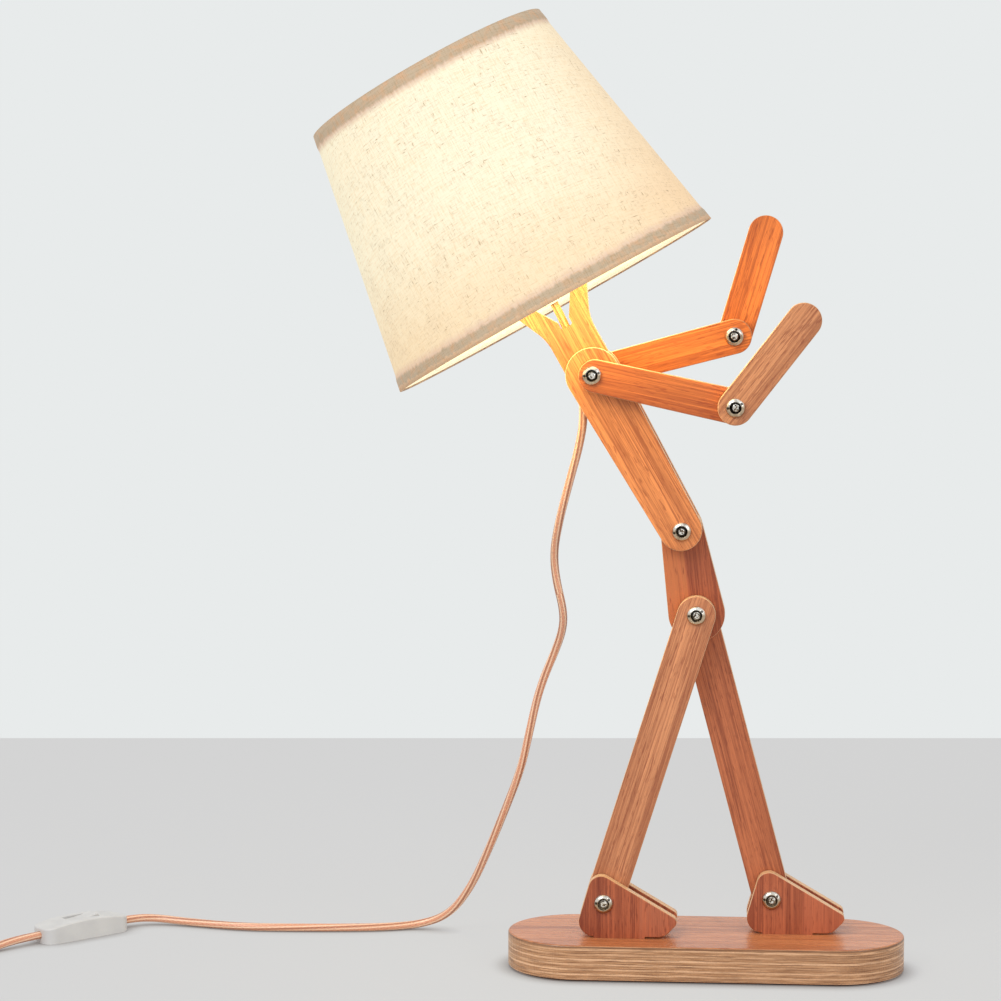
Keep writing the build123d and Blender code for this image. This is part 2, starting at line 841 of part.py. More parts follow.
def shade_radius(u, depth=0.0):
    """Radius at height u, at a depth below the cover's outer face."""
    return shade_bottom_radius - shade_taper * (u - shade_start) - depth * wall_stretch


def cone_profile(low, high, depth, thickness):
    return [
        (shade_radius(low, depth + thickness), low),
        (shade_radius(low, depth), low),
        (shade_radius(high, depth), high),
        (shade_radius(high, depth + thickness), high),
    ]


liner_depth = cover_thickness + laminate_gap
ring_depth = liner_depth + liner_thickness + ring_gap + wire_radius
save(turned(cone_profile(shade_start, shade_top, 0, cover_thickness)), "shade_cover")
liner_low = shade_start + liner_setback
liner_high = shade_top - liner_setback
save(turned(cone_profile(liner_low, liner_high, liner_depth, liner_thickness)), "shade_liner")

bottom_ring_u = shade_start + ring_setback
bottom_ring_radius = shade_radius(bottom_ring_u, ring_depth)
hub_middle = flange_top + hub_thickness / 2
with BuildPart() as shade_frame:
    with BuildSketch(neck_plane):
        with Locations((bottom_ring_radius, bottom_ring_u)):
            Circle(wire_radius)
        with Locations(((hub_bore + hub_radius) / 2, hub_middle)):
            Rectangle(hub_radius - hub_bore, hub_thickness)
    revolve(axis=neck_axis)
    for i in range(spoke_count):
        around = radians(spoke_start_angle + 360 / spoke_count * i)
        outward = neck_across * cos(around) + Vector(0, 1, 0) * sin(around)
        start = neck_point(0, hub_middle) + outward * (hub_radius - wire_radius / 2)
        end = neck_point(0, bottom_ring_u) + outward * bottom_ring_radius
        with BuildSketch(Plane(origin=start, z_dir=end - start)):
            Circle(wire_radius)
        extrude(amount=(end - start).length)
save(shade_frame.part, "shade_frame")

top_ring_u = shade_top - ring_setback
with BuildPart() as shade_top_ring:
    with BuildSketch(neck_plane):
        with Locations((shade_radius(top_ring_u, ring_depth), top_ring_u)):
            Circle(wire_radius)
    revolve(axis=neck_axis)
save(shade_top_ring.part, "shade_top_ring")

# ---- Bulb

tip_low = core_seat + bulb_seat
cap_low = tip_low + bulb_tip_height
bulb_low = cap_low + bulb_cap_height
bulb_cap_profile = [
    (0, tip_low),
    (bulb_tip_radius, tip_low),
    (bulb_cap_radius, cap_low),
    (bulb_cap_radius, bulb_low),
    (bulb_cap_radius - bulb_cap_wall, bulb_low),
    (bulb_cap_radius - bulb_cap_wall, cap_low + bulb_tip_height),
    (0, cap_low + bulb_tip_height),
]
save(turned(bulb_cap_profile), "bulb_cap")


def bulb_solid(inset):
    """The bulb's outer form, or its hollow where inset is the glass wall."""
    centre = bulb_low + bulb_centre_height
    radius = bulb_radius - inset
    neck = bulb_cap_radius - bulb_cap_wall - bulb_neck_gap - inset
    neck_high = bulb_low + bulb_neck_height
    shoulder_angle = radians(bulb_shoulder_angle)
    start = (radius * cos(shoulder_angle), centre + radius * sin(shoulder_angle))
    with BuildPart() as form:
        with BuildSketch(neck_plane):
            with BuildLine():
                Polyline((0, centre + radius), (0, bulb_low), (neck, bulb_low), (neck, neck_high))
                Spline(
                    (neck, neck_high),
                    start,
                    tangents=((0, 1), (-sin(shoulder_angle), cos(shoulder_angle))),
                )
                CenterArc((0, centre), radius, bulb_shoulder_angle, 90 - bulb_shoulder_angle)
            make_face()
        revolve(axis=neck_axis)
    return form.part


with BuildPart() as bulb_glass:
    add(bulb_solid(0))
    add(bulb_solid(bulb_wall), mode=Mode.SUBTRACT)
save(bulb_glass.part, "bulb_glass")

# ---- Inline switch

switch_side = Plane(
    origin=switch_origin,
    x_dir=switch_along,
    z_dir=(switch_along.Y, -switch_along.X, 0),
)
switch_plan = Plane(origin=switch_origin, x_dir=switch_along, z_dir=(0, 0, 1))


def switch_form(inset):
    """The switch's crowned body, or its hollow where inset is the wall."""
    half = switch_length / 2 - inset
    with BuildPart() as form:
        with BuildSketch(switch_side):
            with BuildLine():
                Polyline(
                    (-half, switch_end_height - inset),
                    (-half, inset),
                    (half, inset),
                    (half, switch_end_height - inset),
                )
                ThreePointArc(
                    (half, switch_end_height - inset),
                    (0, switch_crown - inset),
                    (-half, switch_end_height - inset),
                )
            make_face()
        extrude(amount=switch_width / 2 - inset, both=True)
        fillet(form.edges().filter_by(Axis.Z), switch_plan_round - inset)
        if inset == 0:
            fillet(form.faces().sort_by(Axis.Z)[-1].edges(), switch_edge_round)
    return form.part


with BuildPart() as switch_shell:
    add(switch_form(0))
    add(switch_form(switch_wall), mode=Mode.SUBTRACT)
    with BuildSketch(Plane(switch_side.origin + cord_level, z_dir=switch_along)):
        Circle(cord_radius + switch_cord_clearance)
    extrude(amount=switch_length, both=True, mode=Mode.SUBTRACT)

with BuildPart() as switch_lower_case:
    add(switch_shell.part)
    split(bisect_by=Plane.XY.offset(switch_part_line), keep=Keep.BOTTOM)
save(switch_lower_case.part, "switch_lower_case")

ear_across = rocker_width / 2 + rocker_clearance + rocker_ear / 2
ear_low = rocker_pivot_height - rocker_pin_radius - rocker_ear
with BuildPart() as switch_upper_case:
    add(switch_shell.part)
    split(bisect_by=Plane.XY.offset(switch_part_line), keep=Keep.TOP)
    with BuildSketch(switch_plan.offset(ear_low)):
        with Locations((0, ear_across), (0, -ear_across)):
            Rectangle(2 * (rocker_pin_radius + rocker_ear), rocker_ear)
    extrude(amount=switch_crown - switch_wall / 2 - ear_low)
    with BuildSketch(switch_plan.offset(switch_part_line)):
        Rectangle(rocker_length + 2 * rocker_clearance, rocker_width + 2 * rocker_clearance)
    extrude(amount=switch_crown, mode=Mode.SUBTRACT)
    with BuildSketch(switch_side):
        with Locations((0, rocker_pivot_height)):
            Circle(rocker_pin_radius + running_clearance)
    pin_reach = rocker_width / 2 + rocker_clearance + rocker_pin_length
    extrude(amount=pin_reach, both=True, mode=Mode.SUBTRACT)
save(switch_upper_case.part, "switch_upper_case")

rocker_along = switch_along * cos(radians(rocker_tilt)) + Vector(0, 0, sin(radians(rocker_tilt)))
rocker_side = Plane(
    origin=switch_origin + Vector(0, 0, rocker_pivot_height),
    x_dir=rocker_along,
    z_dir=switch_side.z_dir,
)
with BuildPart() as switch_rocker:
    with BuildSketch(rocker_side):
        with BuildLine():
            Polyline(
                (rocker_length / 2, rocker_end_rise),
                (rocker_length / 2, -rocker_depth),
                (-rocker_length / 2, -rocker_depth),
                (-rocker_length / 2, rocker_end_rise),
            )
            ThreePointArc(
                (-rocker_length / 2, rocker_end_rise),
                (0, rocker_middle_rise),
                (rocker_length / 2, rocker_end_rise),
            )
        make_face()
    extrude(amount=rocker_width / 2, both=True)
    fillet(switch_rocker.edges(), rocker_round)
    with BuildSketch(rocker_side):
        Circle(rocker_pin_radius)
    pin_half = rocker_width / 2 + rocker_clearance + rocker_pin_length - running_clearance
    extrude(amount=pin_half, both=True)
save(switch_rocker.part, "switch_rocker")

# ---- Plug

plug_start = (coil_centre[0] - coil_turn_radius - cord_radius, coil_centre[1] + plug_offset)
plug_middle = plug_height / 2
relief_end = plug_start[1] + plug_relief_length
plug_face = relief_end + plug_length


def plug_section(y):
    return Plane(origin=(plug_start[0], y, plug_middle), x_dir=(1, 0, 0), z_dir=(0, 1, 0))


with BuildPart() as plug_body:
    with BuildSketch(plug_section(relief_end)):
        RectangleRounded(plug_neck_width, plug_neck_height, plug_edge_round)
    with BuildSketch(plug_section(plug_face)):
        RectangleRounded(plug_width, plug_height, plug_edge_round)
    loft()
    with BuildSketch(plug_section(plug_start[1])):
        Circle(plug_relief_start_radius)
    with BuildSketch(plug_section(relief_end)):
        Circle(plug_relief_end_radius)
    loft()
    with BuildSketch(plug_section(plug_face)):
        with Locations((pin_spacing / 2, 0), (-pin_spacing / 2, 0)):
            Circle(pin_radius + running_clearance)
    extrude(amount=-pin_root, mode=Mode.SUBTRACT)
save(plug_body.part, "plug_body")

with BuildPart() as plug_pins:
    with BuildSketch(plug_section(plug_face - pin_root)):
        with Locations((pin_spacing / 2, 0), (-pin_spacing / 2, 0)):
            Circle(pin_radius)
    extrude(amount=pin_root + pin_length)
    chamfer(plug_pins.faces().sort_by(Axis.Y)[-2:].edges(), pin_radius / 3)
save(plug_pins.part, "plug_pins")
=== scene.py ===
import json
import math

import bmesh
import bpy
from mathutils import Matrix, Vector

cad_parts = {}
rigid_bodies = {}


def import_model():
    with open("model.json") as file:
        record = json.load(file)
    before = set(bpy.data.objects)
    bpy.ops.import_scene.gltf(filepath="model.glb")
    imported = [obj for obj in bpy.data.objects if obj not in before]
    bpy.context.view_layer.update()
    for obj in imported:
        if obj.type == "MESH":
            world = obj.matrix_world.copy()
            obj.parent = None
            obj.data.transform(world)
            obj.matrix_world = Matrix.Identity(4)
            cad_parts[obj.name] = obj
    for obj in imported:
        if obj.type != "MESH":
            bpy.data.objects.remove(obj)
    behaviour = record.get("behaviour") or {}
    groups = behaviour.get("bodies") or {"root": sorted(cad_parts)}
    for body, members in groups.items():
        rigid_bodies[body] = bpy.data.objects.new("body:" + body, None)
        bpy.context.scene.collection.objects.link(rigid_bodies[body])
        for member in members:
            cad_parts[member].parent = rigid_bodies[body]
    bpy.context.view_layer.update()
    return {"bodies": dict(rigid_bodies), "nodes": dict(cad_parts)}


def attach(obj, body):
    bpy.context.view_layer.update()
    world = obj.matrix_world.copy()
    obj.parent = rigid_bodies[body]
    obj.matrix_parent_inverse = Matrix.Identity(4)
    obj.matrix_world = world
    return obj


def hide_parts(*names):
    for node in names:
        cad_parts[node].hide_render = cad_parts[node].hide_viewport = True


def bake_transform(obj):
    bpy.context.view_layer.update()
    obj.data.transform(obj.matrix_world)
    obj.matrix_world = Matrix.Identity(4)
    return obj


for leftover in list(bpy.data.objects):  # startup cube, lamp and camera
    bpy.data.objects.remove(leftover, do_unlink=True)

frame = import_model()
nodes = frame["nodes"]
bodies = frame["bodies"]
scene = bpy.context.scene
print("plywood lamp loaded,", len(nodes), "parts")


def linearTone(level):
    level = level / 255
    return level / 12.92 if level <= 0.04045 else ((level + 0.055) / 1.055) ** 2.4


def tint(red, green, blue):  # screen levels, 0 to 255
    return (linearTone(red), linearTone(green), linearTone(blue), 1.0)


def shade(colour, amount):
    return (colour[0] * amount, colour[1] * amount, colour[2] * amount, 1.0)


def addObject(name, data):
    item = bpy.data.objects.new(name, data)
    scene.collection.objects.link(item)
    return item


def aimAt(item, target):
    looking = Vector(target) - item.location
    item.rotation_euler = looking.to_track_quat("-Z", "Y").to_euler()


# camera
deskCamera = {
    "place": (0.0158, -1.7879, 0.4384),
    "target": (-0.1249, 0.0, 0.2843),
    "lens": 107.21,
    "sensor": 36.0,
}


def addCamera():
    lens = bpy.data.cameras.new("deskCamera")
    lens.lens = deskCamera["lens"]
    lens.sensor_width = deskCamera["sensor"]
    camera = addObject("deskCamera", lens)
    camera.location = deskCamera["place"]
    aimAt(camera, deskCamera["target"])
    scene.camera = camera


addCamera()


# node helpers used by every finish
def newFinish(name):
    finish = bpy.data.materials.new(name)
    finish.use_nodes = True
    tree = finish.node_tree
    return finish, tree, tree.nodes["Principled BSDF"]


def put(tree, kind, **settings):
    item = tree.nodes.new(kind)
    for setting, value in settings.items():
        setattr(item, setting, value)
    return item


def linked(value):
    return isinstance(value, bpy.types.NodeSocket)


def feed(value, socket):  # a link from a socket, or a plain value
    if linked(value):
        socket.id_data.links.new(value, socket)
    else:
        socket.default_value = value


def beside(values, kind, **settings):  # a node in the tree that the values come from
    return put(next(value.id_data for value in values if linked(value)), kind, **settings)


def dress(shader, values):
    for name, value in values.items():
        feed(value, shader.inputs[name])


def selfLit(finish, shader, glow):
    dress(shader, {"Emission Color": glow, "Emission Strength": 1.0})
    finish.cycles.emission_sampling = "NONE"


def sums(operation, first, second=0.0, clamp=False):
    item = beside((first, second), "ShaderNodeMath", operation=operation, use_clamp=clamp)
    feed(first, item.inputs[0])
    feed(second, item.inputs[1])
    return item.outputs[0]


def plus(first, second):
    return sums("ADD", first, second)


def minus(first, second):
    return sums("SUBTRACT", first, second)


def times(first, second):
    return sums("MULTIPLY", first, second)


def over(first, second):
    return sums("DIVIDE", first, second)


def larger(first, second):
    return sums("MAXIMUM", first, second)


def offMiddle(value):  # how far a value is from the middle of its own unit step
    return sums("ABSOLUTE", minus(sums("FRACT", value), 0.5))


def span(value, low, high, start=0.0, end=1.0, smooth=False):
    item = beside([value], "ShaderNodeMapRange", interpolation_type="SMOOTHSTEP" if smooth else "LINEAR")
    dress(item, {"Value": value, "From Min": low, "From Max": high, "To Min": start, "To Max": end})
    return item.outputs[0]


def fade(value, low, high):  # one below the low value, none above the high one
    return span(value, low, high, 1.0, 0.0, smooth=True)


def mixed(amount, first, second, blend="MIX"):
    item = beside((amount, first, second), "ShaderNodeMix", data_type="RGBA", blend_type=blend)
    feed(amount, item.inputs["Factor"])
    feed(first, item.inputs[6])
    feed(second, item.inputs[7])
    return item.outputs[2]


def layered(colour, *coats):  # each coat is an amount and a tone, the last one on top
    for amount, tone in coats:
        colour = mixed(amount, colour, tone)
    return colour


def split(vector):
    item = beside([vector], "ShaderNodeSeparateXYZ")
    feed(vector, item.inputs[0])
    return item.outputs


def vectorSum(operation, vector, other, output="Vector"):
    item = beside([vector], "ShaderNodeVectorMath", operation=operation)
    feed(vector, item.inputs[0])
    feed(other, item.inputs[1])
    return item.outputs[output]


def noise(coords, stretch, detail=2.0, rough=0.5, warp=0.0):
    item = beside([coords], "ShaderNodeTexNoise", noise_dimensions="3D")
    coords = vectorSum("MULTIPLY", coords, stretch)
    dress(item, {"Vector": coords, "Scale": 1.0, "Detail": detail, "Roughness": rough, "Distortion": warp})
    return item.outputs["Fac"]


def evenNoise(coords, scale, detail=2.0, rough=0.5):
    return noise(coords, (scale, scale, scale), detail, rough)


def relief(shader, height, depth, strength=1.0):  # depth in metres
    item = beside([height], "ShaderNodeBump")
    dress(item, {"Strength": strength, "Distance": depth, "Height": height})
    feed(item.outputs["Normal"], shader.inputs["Normal"])


def objectCoords(tree):
    return put(tree, "ShaderNodeTexCoord").outputs["Object"]


def uvCoords(tree, name):
    return put(tree, "ShaderNodeUVMap", uv_map=name).outputs["UV"]


def coat(node, finish):
    mesh = nodes[node].data
    if not mesh.materials:
        mesh.materials.append(finish)
    for slotted in nodes[node].material_slots:
        slotted.material = finish


# the lead, in four runs of one flex
flex = {
    "radius": 0.0025,
    "roundness": 4,
    "weave": 0.0042,  # length of one turn of the braid
    "strands": 9,
    "tone": tint(220, 150, 116),
    "light": tint(255, 222, 190),
    "dark": tint(176, 102, 76),
    # painted shade in the groove between the cores
    "seam": tint(136, 76, 48),
    "cores": 3,
    "lay": 0.42,  # length in which the cores go once round
    "yarn": (900, 40, 1),  # how tightly the yarn packs along and round the lead
    "wear": (60, 6, 1),
    "seamWidth": (0.04, 0.13),  # from the seam, as shares of a core
    # painted highlight along the crest of each core
    "crestHighlight": (0.13, 0.22, 0.26, 0.36),
    "polish": {"Coat Weight": 0.55, "Coat Roughness": 0.22, "Sheen Weight": 0.15, "Sheen Roughness": 0.4},
    "braidDepth": 0.00010,
    "dim": (0.180, 0.218, 0.246, 0.294),  # heights between which the figure shades it
    "dimTint": (0.68, 0.69, 0.72, 1.0),
    "neckTone": tint(206, 142, 80),  # painted lamplight: the same lead, yellowed as if the bulb lit it
    "neckLight": tint(226, 172, 112),
    "neckDark": tint(132, 84, 44),
    "neck": [
        (-0.0948, 0.0, 0.4071),
        (-0.0850, 0.0, 0.3896),
        (-0.0789, 0.0, 0.3701),
        (-0.0758, 0.0, 0.3535),
        (-0.0753, 0.0, 0.3458),
    ],
    "upper": [
        (-0.0753, 0.0, 0.3458),
        (-0.0745, 0.0, 0.3342),
        (-0.0775, 0.0025, 0.3170),
        (-0.0835, 0.0075, 0.2960),
        (-0.0900, 0.0135, 0.2720),
        (-0.0938, 0.0175, 0.2520),
        (-0.0923, 0.0158, 0.2350),
        (-0.08985, 0.0138, 0.2260),
    ],
    "lower": [
        (-0.08985, 0.0138, 0.2260),
        (-0.0874, 0.0118, 0.2170),
        (-0.0876, 0.0120, 0.2050),
        (-0.0930, 0.0170, 0.1900),
        (-0.0990, 0.0225, 0.1760),
        (-0.1045, 0.0275, 0.1600),
        (-0.1095, 0.0320, 0.1380),
        (-0.1150, 0.0375, 0.1140),
        (-0.1250, 0.0470, 0.0880),
        (-0.1370, 0.0585, 0.0585),
        (-0.1490, 0.0705, 0.0320),
        (-0.1640, 0.0835, 0.0110),
        (-0.1830, 0.0890, 0.0028),
        (-0.2070, 0.0800, 0.0026),
        (-0.2360, 0.0765, 0.0026),
        (-0.2660, 0.0745, 0.0026),
        (-0.2940, 0.0740, 0.0026),
        (-0.3170, 0.0795, 0.0026),
        (-0.3377, 0.0849, 0.0030),
        (-0.3545, 0.0876, 0.0042),
        (-0.3678, 0.0832, 0.0050),
        (-0.37755, 0.07314, 0.0050),
    ],
    "supply": [
        (-0.41645, 0.03286, 0.0050),
        (-0.4296, 0.0192, 0.0050),
        (-0.4440, 0.0010, 0.0026),
        (-0.4570, -0.0170, 0.0026),
    ],
    "tail": [
        (-0.5226, -0.0080, 0.0076),
        (-0.5225, -0.0030, 0.0071),
        (-0.5225, 0.0040, 0.0068),
    ],
}

storedCoil = {
    "middle": (-0.492, -0.012),
    "outer": 0.0306,
    "inner": 0.0254,
    "layers": (0.0026, 0.0077, 0.0128),
    "start": -40.5,
    "turns": 5.36,
    "perTurn": 16,
    "cornerCut": 0.981,  # how far the line runs inside its control points
    "shifts": [  # from turn, to turn, new radius, new layer
        (0.80, 1.00, "inner", 0),
        (1.70, 1.90, "inner", 1),
        (2.70, 2.90, "inner", 2),
        (3.60, 3.80, "outer", 2),
        (4.50, 4.70, "outer", 1),
    ],
}


def coilTurns():
    count = round(storedCoil["turns"] * storedCoil["perTurn"])
    points = []
    for step in range(count + 1):
        turn = storedCoil["turns"] * step / count
        radius, height = storedCoil["outer"], storedCoil["layers"][0]
        for begin, settled, ring, layer in storedCoil["shifts"]:
            ease = min(max((turn - begin) / (settled - begin), 0), 1)
            ease = ease * ease * (3 - 2 * ease)
            radius += (storedCoil[ring] - radius) * ease
            height += (storedCoil["layers"][layer] - height) * ease
        angle = math.radians(storedCoil["start"]) - 2 * math.pi * turn
        radius /= storedCoil["cornerCut"]
        points.append(
            (
                storedCoil["middle"][0] + radius * math.cos(angle),
                storedCoil["middle"][1] + radius * math.sin(angle),
                height,
            )
        )
    return points


def flexFinish(name, tone, light, dark):
    finish, tree, shader = newFinish(name)
    unwrapped = uvCoords(tree, "flexWrap")
    parts = split(unwrapped)
    along, around = parts[0], parts[1]
    turnsAlong = over(along, flex["weave"])
    turnsAround = times(around, flex["strands"])
    rightHand = sums("SINE", times(plus(turnsAround, turnsAlong), math.tau))
    leftHand = sums("SINE", times(minus(turnsAround, turnsAlong), math.tau))
    braid = larger(rightHand, leftHand)
    yarn = noise(unwrapped, flex["yarn"], detail=3)
    wear = noise(unwrapped, flex["wear"], detail=3)

    coreTurns = over(along, flex["lay"] / flex["cores"])
    offSeam = offMiddle(plus(times(around, flex["cores"]), coreTurns))
    # painted shade: a dark line in the groove between the cores, where the relief also cuts a groove
    seam = fade(offSeam, *flex["seamWidth"])
    foot, shoulder, fall, end = flex["crestHighlight"]
    # painted highlight: a pale band along each core
    crestHighlight = times(span(offSeam, foot, shoulder), span(offSeam, end, fall))
    lit = layered(
        mixed(span(braid, -0.1, 0.8), dark, tone),
        (0.55, tone),
        (span(yarn, 0.45, 0.75, 0.0, 0.5), light),
        (span(wear, 0.3, 0.8, 0.15, 0.6), tone),
        (times(crestHighlight, 0.8), light),
        (times(seam, 0.6), flex["seam"]),
    )

    height = split(objectCoords(tree))[2]
    lowest, low, high, highest = flex["dim"]
    rising = span(height, lowest, low, smooth=True)
    falling = span(height, highest, high, smooth=True)
    lit = mixed(times(rising, falling), lit, flex["dimTint"], blend="MULTIPLY")
    rough = span(yarn, 0.2, 0.8, 0.2, 0.34)
    dress(shader, {"Base Color": lit, "Roughness": rough, "Sheen Tint": light, **flex["polish"]})
    threads = plus(braid, times(yarn, 0.4))
    relief(shader, minus(threads, times(seam, 2.4)), flex["braidDepth"], 0.7)
    return finish


def wrapFlex(mesh, centre):  # first direction is metres along the lead, second once round it
    reach = [0.0]
    for here, before in zip(centre[1:], centre[:-1]):
        reach.append(reach[-1] + (here - before).length)
    shape = bmesh.new()
    shape.from_mesh(mesh)
    sides = len(shape.verts) // len(centre)
    wrap = shape.loops.layers.uv.new("flexWrap")
    for face in shape.faces:
        places = [(corner.vert.index // sides, corner.vert.index % sides) for corner in face.loops]
        crossing = max(side for ring, side in places) - min(side for ring, side in places) > sides / 2
        for corner, (ring, side) in zip(face.loops, places):
            side = side + sides if crossing and side < sides / 2 else side
            corner[wrap].uv = (reach[ring], side / sides)
    ends = [edge for edge in shape.edges if edge.is_boundary]
    for edge in ends:  # the caps keep a sharp rim
        edge.smooth = False
    bmesh.ops.holes_fill(shape, edges=ends)
    bmesh.ops.recalc_face_normals(shape, faces=shape.faces)
    shape.to_mesh(mesh)
    shape.free()
    return reach[-1]


def layFlex(name, points, steps, finish):
    line = bpy.data.curves.new(name, "CURVE")
    line.dimensions = "3D"
    line.resolution_u = steps
    spline = line.splines.new("NURBS")
    spline.points.add(len(points) - 1)
    for knot, place in zip(spline.points, points):
        knot.co = (*place, 1.0)
    spline.order_u = 3
    spline.use_endpoint_u = True
    carrier = addObject(name + "Line", line)
    centre = [corner.co.copy() for corner in bpy.data.meshes.new_from_object(carrier).vertices]
    line.bevel_depth = flex["radius"]
    line.bevel_resolution = flex["roundness"]
    mesh = bpy.data.meshes.new_from_object(carrier)
    bpy.data.objects.remove(carrier, do_unlink=True)
    for layer in list(mesh.uv_layers):
        mesh.uv_layers.remove(layer)
    length = wrapFlex(mesh, centre)
    mesh.materials.clear()
    mesh.materials.append(finish)
    mesh.shade_smooth()
    piece = addObject(name, mesh)
    print(f"{name}: {length * 1000:.1f} mm of flex")
    return piece, centre, length


braidedFlex = flexFinish("braidedFlex", flex["tone"], flex["light"], flex["dark"])
# painted lamplight: a yellower copy of the flex for the run under the shade
paintedLamplitFlex = flexFinish("paintedLamplitFlex", flex["neckTone"], flex["neckLight"], flex["neckDark"])

neckFlex, neckLine, neckLength = layFlex("neckFlex", flex["neck"], 16, paintedLamplitFlex)
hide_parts("cord_neck")
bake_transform(neckFlex)

upperFlex, upperLine, upperLength = layFlex("upperFlex", flex["upper"], 16, braidedFlex)
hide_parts("cord_upper")
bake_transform(upperFlex)

lowerFlex, lowerLine, lowerLength = layFlex("lowerFlex", flex["lower"], 16, braidedFlex)
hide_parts("cord_lower")
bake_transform(lowerFlex)

supplyRoute = flex["supply"] + coilTurns() + flex["tail"]
supplyFlex, supplyLine, supplyLength = layFlex("supplyFlex", supplyRoute, 8, braidedFlex)
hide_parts("cord_supply", "cord_coil")
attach(supplyFlex, "root")
print("flex laid")


# plywood slats: veneer on the flat faces, plies along the edges
plywood = {
    "ply": 0.0016,
    "edgeLight": tint(234, 196, 156),
    "edgeDark": tint(206, 158, 112),
    "glue": tint(150, 98, 62),
    "brownPly": tint(178, 130, 92),
    "palePly": tint(226, 180, 142),
    "boardEdge": tint(154, 110, 78),
    "darkLine": tint(104, 66, 42),
    "topJoint": (0.0203, 0.0209, 0.0212, 0.0216),  # heights on the board where its face veneer is glued
    "lowestPly": (0.0010, 0.0016),
    "slatFace": (0.46, 0.5),  # roughness, then strength of the streaks
    "boardFace": (0.27, 0.22),
    "deep": (0.80, 0.70, 0.66),  # darker woods, as shares of the veneer's tone
    "latewood": (0.70, 0.52, 0.46),
    "pale": (1.13, 6),  # a share of the tone, and levels added
    "cutStep": (0.31, 0.0, 0.073),  # from one slat's place in the log to the next
    "leafSeam": 0.0003,
    "through": 20.0,  # how tightly the figure packs through the slat
    "grainDepth": 0.00006,
}
figures = {  # how tightly each packs along and across the grain, then its detail, roughness and warp
    "bands": (3.5, 190, 3, 0.55, 0.0),
    "fibres": (22, 1500, 3, 0.6, 0.0),
    "rings": (2.6, 85, 2, 0.45, 0.25),
    "closeRings": (4.5, 240, 1, 0.4, 0.0),
    "pores": (150, 3600, 1, 0.5, 0.0),
    "strips": (1.5, 75, 1, 0.4, 0.0),
    "streaks": (9, 620, 2, 0.5, 0.0),
    "flecks": (120, 900, 1, 0.5, 0.0),
}

# tone of the veneer, way the grain runs in degrees from the desk, and where in the log it was cut
slats = {
    "near_leg": ((195, 130, 89), 72.6, 1.3),
    "far_leg": ((175, 99, 61), 104.9, 2.9),
    "pelvis_link": ((168, 88, 52), 97.0, 4.1),
    "near_torso_cheek": ((206, 128, 73), 119.8, 5.7),
    "far_torso_cheek": ((188, 110, 66), 119.8, 6.2),
    "neck_fork": ((202, 134, 78), 119.3, 7.4),
    "near_upper_arm": ((197, 109, 52), -12.2, 8.8),
    "far_upper_arm": ((219, 124, 55), 14.8, 9.5),
    "near_forearm": ((190, 129, 88), 52.2, 10.6),
    "far_forearm": ((209, 114, 49), 73.5, 11.9),
    "near_foot_front_cheek": ((166, 86, 52), 90.0, 12.2),
    "near_foot_rear_cheek": ((168, 92, 58), 90.0, 13.7),
    "far_foot_front_cheek": ((172, 93, 59), 90.0, 14.4),
    "far_foot_rear_cheek": ((164, 90, 58), 90.0, 15.8),
}
# slats faced with two leaves: where they meet across the grain, then the second leaf's side, tone and cover
veneerJoints = {
    "pelvis_link": (-0.0166, 1, (196, 114, 66), 0.75),
    "near_foot_front_cheek": (0.0393, -1, (204, 122, 88), 0.4),
    "far_foot_front_cheek": (-0.0585, -1, (200, 112, 78), 0.35),
}
# boards that lie flat: as the slats, then the thickness of a ply
flatBoards = {
    "base_board": ((190, 123, 80), 0.0, 17.1, 0.0030),
    "holder_plate": ((226, 160, 98), 29.3, 18.6, 0.00125),
}


def slatEdge(coords, level, ply):
    waver = evenNoise(coords, 18, detail=3)
    streak = noise(coords, (90, 1600, 90), detail=4, rough=0.65)
    spots = evenNoise(coords, 900)
    layer = plus(over(level, ply), span(waver, 0.3, 0.7, -0.32, 0.32))
    crossPly = span(sums("PINGPONG", layer, 1.0), 0.38, 0.62)
    return layered(
        mixed(crossPly, plywood["edgeLight"], plywood["edgeDark"]),
        (span(streak, 0.42, 0.72, 0.0, 0.65), plywood["edgeDark"]),
        (span(spots, 0.55, 0.75, 0.0, 0.3), plywood["glue"]),
        (span(offMiddle(layer), 0.43, 0.5, 0.0, 0.55), plywood["glue"]),
    )


def boardEdge(coords, level, ply):  # a pale ply between two brown ones
    waver = noise(coords, (11, 11, 30), detail=3, rough=0.6)
    slow = noise(coords, (9, 9, 430))
    streak = noise(coords, (48, 48, 1500), detail=4, rough=0.7)
    cracks = noise(coords, (30, 30, 900), detail=3, rough=0.6)
    spots = noise(coords, (500, 500, 900), detail=3)
    layer = plus(over(level, ply), span(waver, 0.3, 0.7, -0.13, 0.13))
    fromMiddle = offMiddle(layer)
    stripe = times(fade(fromMiddle, 0.10, 0.24), span(slow, 0.36, 0.60, 0.12, 1.0))
    offJoint = sums("ABSOLUTE", minus(fromMiddle, 0.25))
    joint = times(span(offJoint, 0.0, 0.07, 1.0, 0.0), span(cracks, 0.45, 0.62))
    foot, low, high, head = plywood["topJoint"]
    topJoint = times(span(level, foot, low), span(level, head, high))
    paleFull, paleEnd = plywood["lowestPly"]
    return layered(
        mixed(stripe, plywood["brownPly"], plywood["palePly"]),
        (span(slow, 0.5, 0.3, 0.0, 0.5), plywood["boardEdge"]),
        (span(streak, 0.50, 0.30, 0.0, 0.7), plywood["palePly"]),
        (span(streak, 0.50, 0.68, 0.0, 0.85), plywood["darkLine"]),
        (times(joint, 0.95), plywood["darkLine"]),
        (span(spots, 0.55, 0.75, 0.0, 0.4), plywood["boardEdge"]),
        (times(topJoint, 0.8), plywood["darkLine"]),
        (span(level, paleEnd, paleFull, 0.0, 0.7), plywood["palePly"]),
    )


